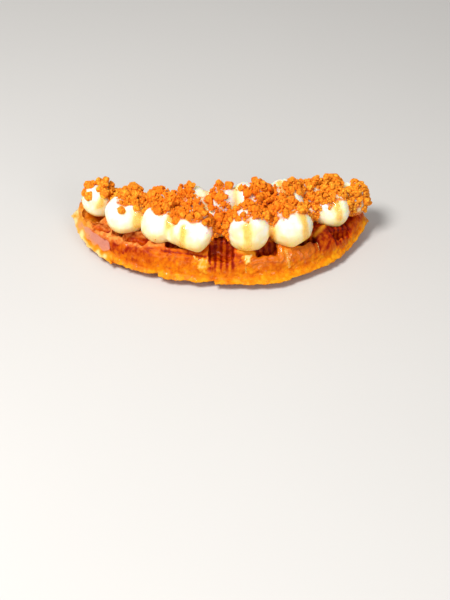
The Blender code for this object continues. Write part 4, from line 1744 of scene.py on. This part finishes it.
dull = remap(tree, patches(tree, 2.5 * MM), *MOST_NOISE, *ROUGHNESS)
tree.links.new(dull, shader.inputs["Roughness"])
wet = remap(tree, patches(tree, 2.6 * MM, 3.0), 0.58, 0.66, 0.0, 0.9)
wet = math_node(tree, "MULTIPLY", wet, remap(tree, kept_toast, 0.5, 0.75, 1.0, DRY_COAT))
wet = math_node(tree, "MAXIMUM", wet, remap(tree, syrup, 0.1, 0.8, 0.0, 0.45))
wet = math_node(tree, "MAXIMUM", wet, remap(tree, glazed, 0.2, 0.7))
tree.links.new(wet, shader.inputs["Coat Weight"])
add_bump(tree, shader, grain(tree, 0.9 * MM), 0.40 * MM, 0.6)
print(crust.name, "has", len(tree.nodes), "nodes")

# %% [markdown]
# Whipped cream is white and soft because light goes into it, so its shader scatters light below the
# surface.  It gets a painted warm shade on the undersides and in the creases, is yellow where thin caramel
# stained it, with a wet coat there, and brown where crumbs left their dust.

# %% Cream
WHITE_CREAM, YELLOW_CREAM = (255, 252, 240), (255, 246, 198)
WARM_SHADE_TONE = (255, 213, 116)
STAIN_TONE = (253, 206, 92)
DUST_TONE = (224, 112, 16)

whipped, tree, shader = new_material(
    "whipped cream",
    Roughness=0.42,
    Subsurface_Weight=0.8,
    Subsurface_Radius=(1.0, 0.6, 0.3),
    Subsurface_Scale=7.0 * MM,
    Coat_Roughness=0.08,
)
sauce_amount = attribute(tree, "sauce")
tone = remap(tree, patches(tree, 5.0 * MM, 3.0), 0.40, 0.66)
tone = mixed(tree, tone, linear(*WHITE_CREAM), linear(*YELLOW_CREAM))
# Painted warm shade on the undersides of the balls and in the creases.
tone = painted(tree, tone, WARM_SHADE_TONE, attribute(tree, "painted_shade"), 0.0, 1.0, 0.9)
tone = painted(tree, tone, STAIN_TONE, sauce_amount, 0.05, 0.75, 0.85)
specks = remap(tree, patches(tree, 2.5 * MM, 4.0), 0.30, 0.44)
dusted = math_node(tree, "MULTIPLY", attribute(tree, "dust"), specks)
tree.links.new(mixed(tree, dusted, tone, linear(*DUST_TONE)), shader.inputs["Base Color"])
tree.links.new(remap(tree, sauce_amount, 0.2, 0.6, 0.0, 0.8), shader.inputs["Coat Weight"])
add_bump(tree, shader, patches(tree, 1.2 * MM, 3.0), 0.20 * MM, 0.25)
print(whipped.name, "has", len(tree.nodes), "nodes")

# %% [markdown]
# Biscuit is dry and matt.  Each crumb has its own tone between a dark and a light one, with browner spots
# and painted shade in its cracks, and the shared grain at half the crust's size.

# %% Biscuit
DARK_BISCUIT, LIGHT_BISCUIT = (238, 114, 6), (255, 198, 60)
SPOT_TONE = (250, 144, 18)
CRACK_SHADE_TONE = (204, 86, 8)

biscuit, tree, shader = new_material("biscuit crumbs", Roughness=0.7, Specular_IOR_Level=0.15)
tone = mixed(tree, attribute(tree, "bake"), linear(*DARK_BISCUIT), linear(*LIGHT_BISCUIT))
tone = painted(tree, tone, SPOT_TONE, patches(tree, 1.1 * MM, 3.0), 0.40, 0.68)
# Painted shade in the cracks between the grains.
tone = painted(tree, tone, CRACK_SHADE_TONE, attribute(tree, "crack"), 0.15, 1.0, 0.8)
tree.links.new(tone, shader.inputs["Base Color"])
add_bump(tree, shader, grain(tree, 0.45 * MM), 0.25 * MM, 0.8)
print(biscuit.name, "has", len(tree.nodes), "nodes")

# %% [markdown]
# Caramel this thin is clear.  Glass would bend the light in it, which hardly shows in a film and takes
# long to render, so a low alpha lets the cream show through and a full coat gives the bright reflections.

# %% Caramel
AMBER, LIGHT_AMBER = (255, 196, 60), (255, 216, 110)
FILM_ALPHA = (0.12, 0.32)

caramel, tree, shader = new_material("caramel sauce", Roughness=0.08, Coat_Weight=1.0, Coat_Roughness=0.03)
tint = mixed(tree, patches(tree, 3.0 * MM), linear(*AMBER), linear(*LIGHT_AMBER))
tree.links.new(tint, shader.inputs["Base Color"])
clear = remap(tree, patches(tree, 2.2 * MM), *MOST_NOISE, *FILM_ALPHA)
tree.links.new(clear, shader.inputs["Alpha"])
print(caramel.name, "has", len(tree.nodes), "nodes")

# %% [markdown]
# ## Dress the pieces
#
# Each piece gets its one material and rides on the frame's body, and the node it covers is hidden.

# %% Dress the pieces


def dress(item, material, node):
    """Give a piece its material and tie it to the frame."""
    item.data.materials.clear()
    item.data.materials.append(material)
    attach(item, "root")
    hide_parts(node)


dress(dough, crust, "pastry")
dress(cream, whipped, "cream")
for item in (large_crumbs, small_crumbs, fine_grains):
    dress(item, biscuit, "cream")
for item in (cream_film, crust_film):
    dress(item, caramel, "cream")

# %% [markdown]
# ## Floor, light and camera
#
# The croffle lies on a plain pale floor, which is a hair lower so that their faces don't share a plane.

# %% Floor
FLOOR_SIZE = 4.0
FLOOR_GAP = 0.02 * MM
FLOOR_TONES = ((0.62, 0.612, 0.60, 1.0), (0.64, 0.632, 0.62, 1.0))

deselect()
bpy.ops.mesh.primitive_plane_add(size=FLOOR_SIZE, location=(0.0, 0.0, -FLOOR_GAP))
floor = bpy.context.object
floor.name = "floor"
paper, tree, shader = new_material("pale floor", Roughness=0.75)
tree.links.new(mixed(tree, patches(tree, 150.0 * MM), *FLOOR_TONES), shader.inputs["Base Color"])
floor.data.materials.append(paper)
print("floor:", [round(side, 2) for side in floor.dimensions], "m")

# %% [markdown]
# The main light is a soft box at the upper left, a little in front.  A larger and weaker one in front, to
# the right, brightens the side that the camera sees, and the world gives a little light from all sides.
# Each soft box has a place, a size, a power and a colour.

# %% Light
KEY_LIGHT = ((-0.36, -0.36, 0.78), 0.30, 9.2, (1.0, 0.98, 0.95))
FRONT_LIGHT = ((0.42, -0.75, 0.42), 0.50, 2.7, (1.0, 0.98, 0.96))
SOFT_LIGHT_COLOUR = (1.0, 0.985, 0.965, 1.0)
SOFT_LIGHT_STRENGTH = 0.32


def add_softbox(name, location, size, power, colour):
    """Area light aimed at the croffle."""
    light = bpy.data.lights.new(name, "AREA")
    light.size = size
    light.energy = power
    light.color = colour
    lamp = bpy.data.objects.new(name, light)
    lamp.location = location
    lamp.rotation_euler = (-Vector(location)).to_track_quat("-Z", "Y").to_euler()
    bpy.context.collection.objects.link(lamp)


add_softbox("key light", *KEY_LIGHT)
add_softbox("front light", *FRONT_LIGHT)
world = bpy.data.worlds.new("soft light")
world.use_nodes = True
background = world.node_tree.nodes["Background"]
background.inputs["Color"].default_value = SOFT_LIGHT_COLOUR
background.inputs["Strength"].default_value = SOFT_LIGHT_STRENGTH
bpy.context.scene.world = world
bpy.context.scene.view_settings.view_transform = "Standard"
print(len(bpy.data.lights), "lights of", [round(light.energy, 1) for light in bpy.data.lights], "watts")

# %% [markdown]
# The camera stands in front and looks down on the croffle, a little rolled, at the photograph's own
# angle.  Its place was worked out from the photograph's perspective.

# %% Camera
CAMERA_PLACE = Vector((3.5 * MM, -534.4 * MM, 397.3 * MM))
CAMERA_PITCH = math.radians(38.726)
CAMERA_ROLL = math.radians(1.484)
LENS = 78.2
SENSOR = 36.0
NEAREST = 0.01

camera_data = bpy.data.cameras.new("camera")
camera_data.lens = LENS
camera_data.sensor_width = SENSOR
camera_data.clip_start = NEAREST
camera = bpy.data.objects.new("camera", camera_data)
bpy.context.collection.objects.link(camera)
tilt = Matrix.Rotation(math.pi / 2.0 - CAMERA_PITCH, 4, "X")
camera.matrix_world = Matrix.Translation(CAMERA_PLACE) @ tilt @ Matrix.Rotation(CAMERA_ROLL, 4, "Z")
bpy.context.scene.camera = camera
print("camera distance, mm:", round(CAMERA_PLACE.length / MM))
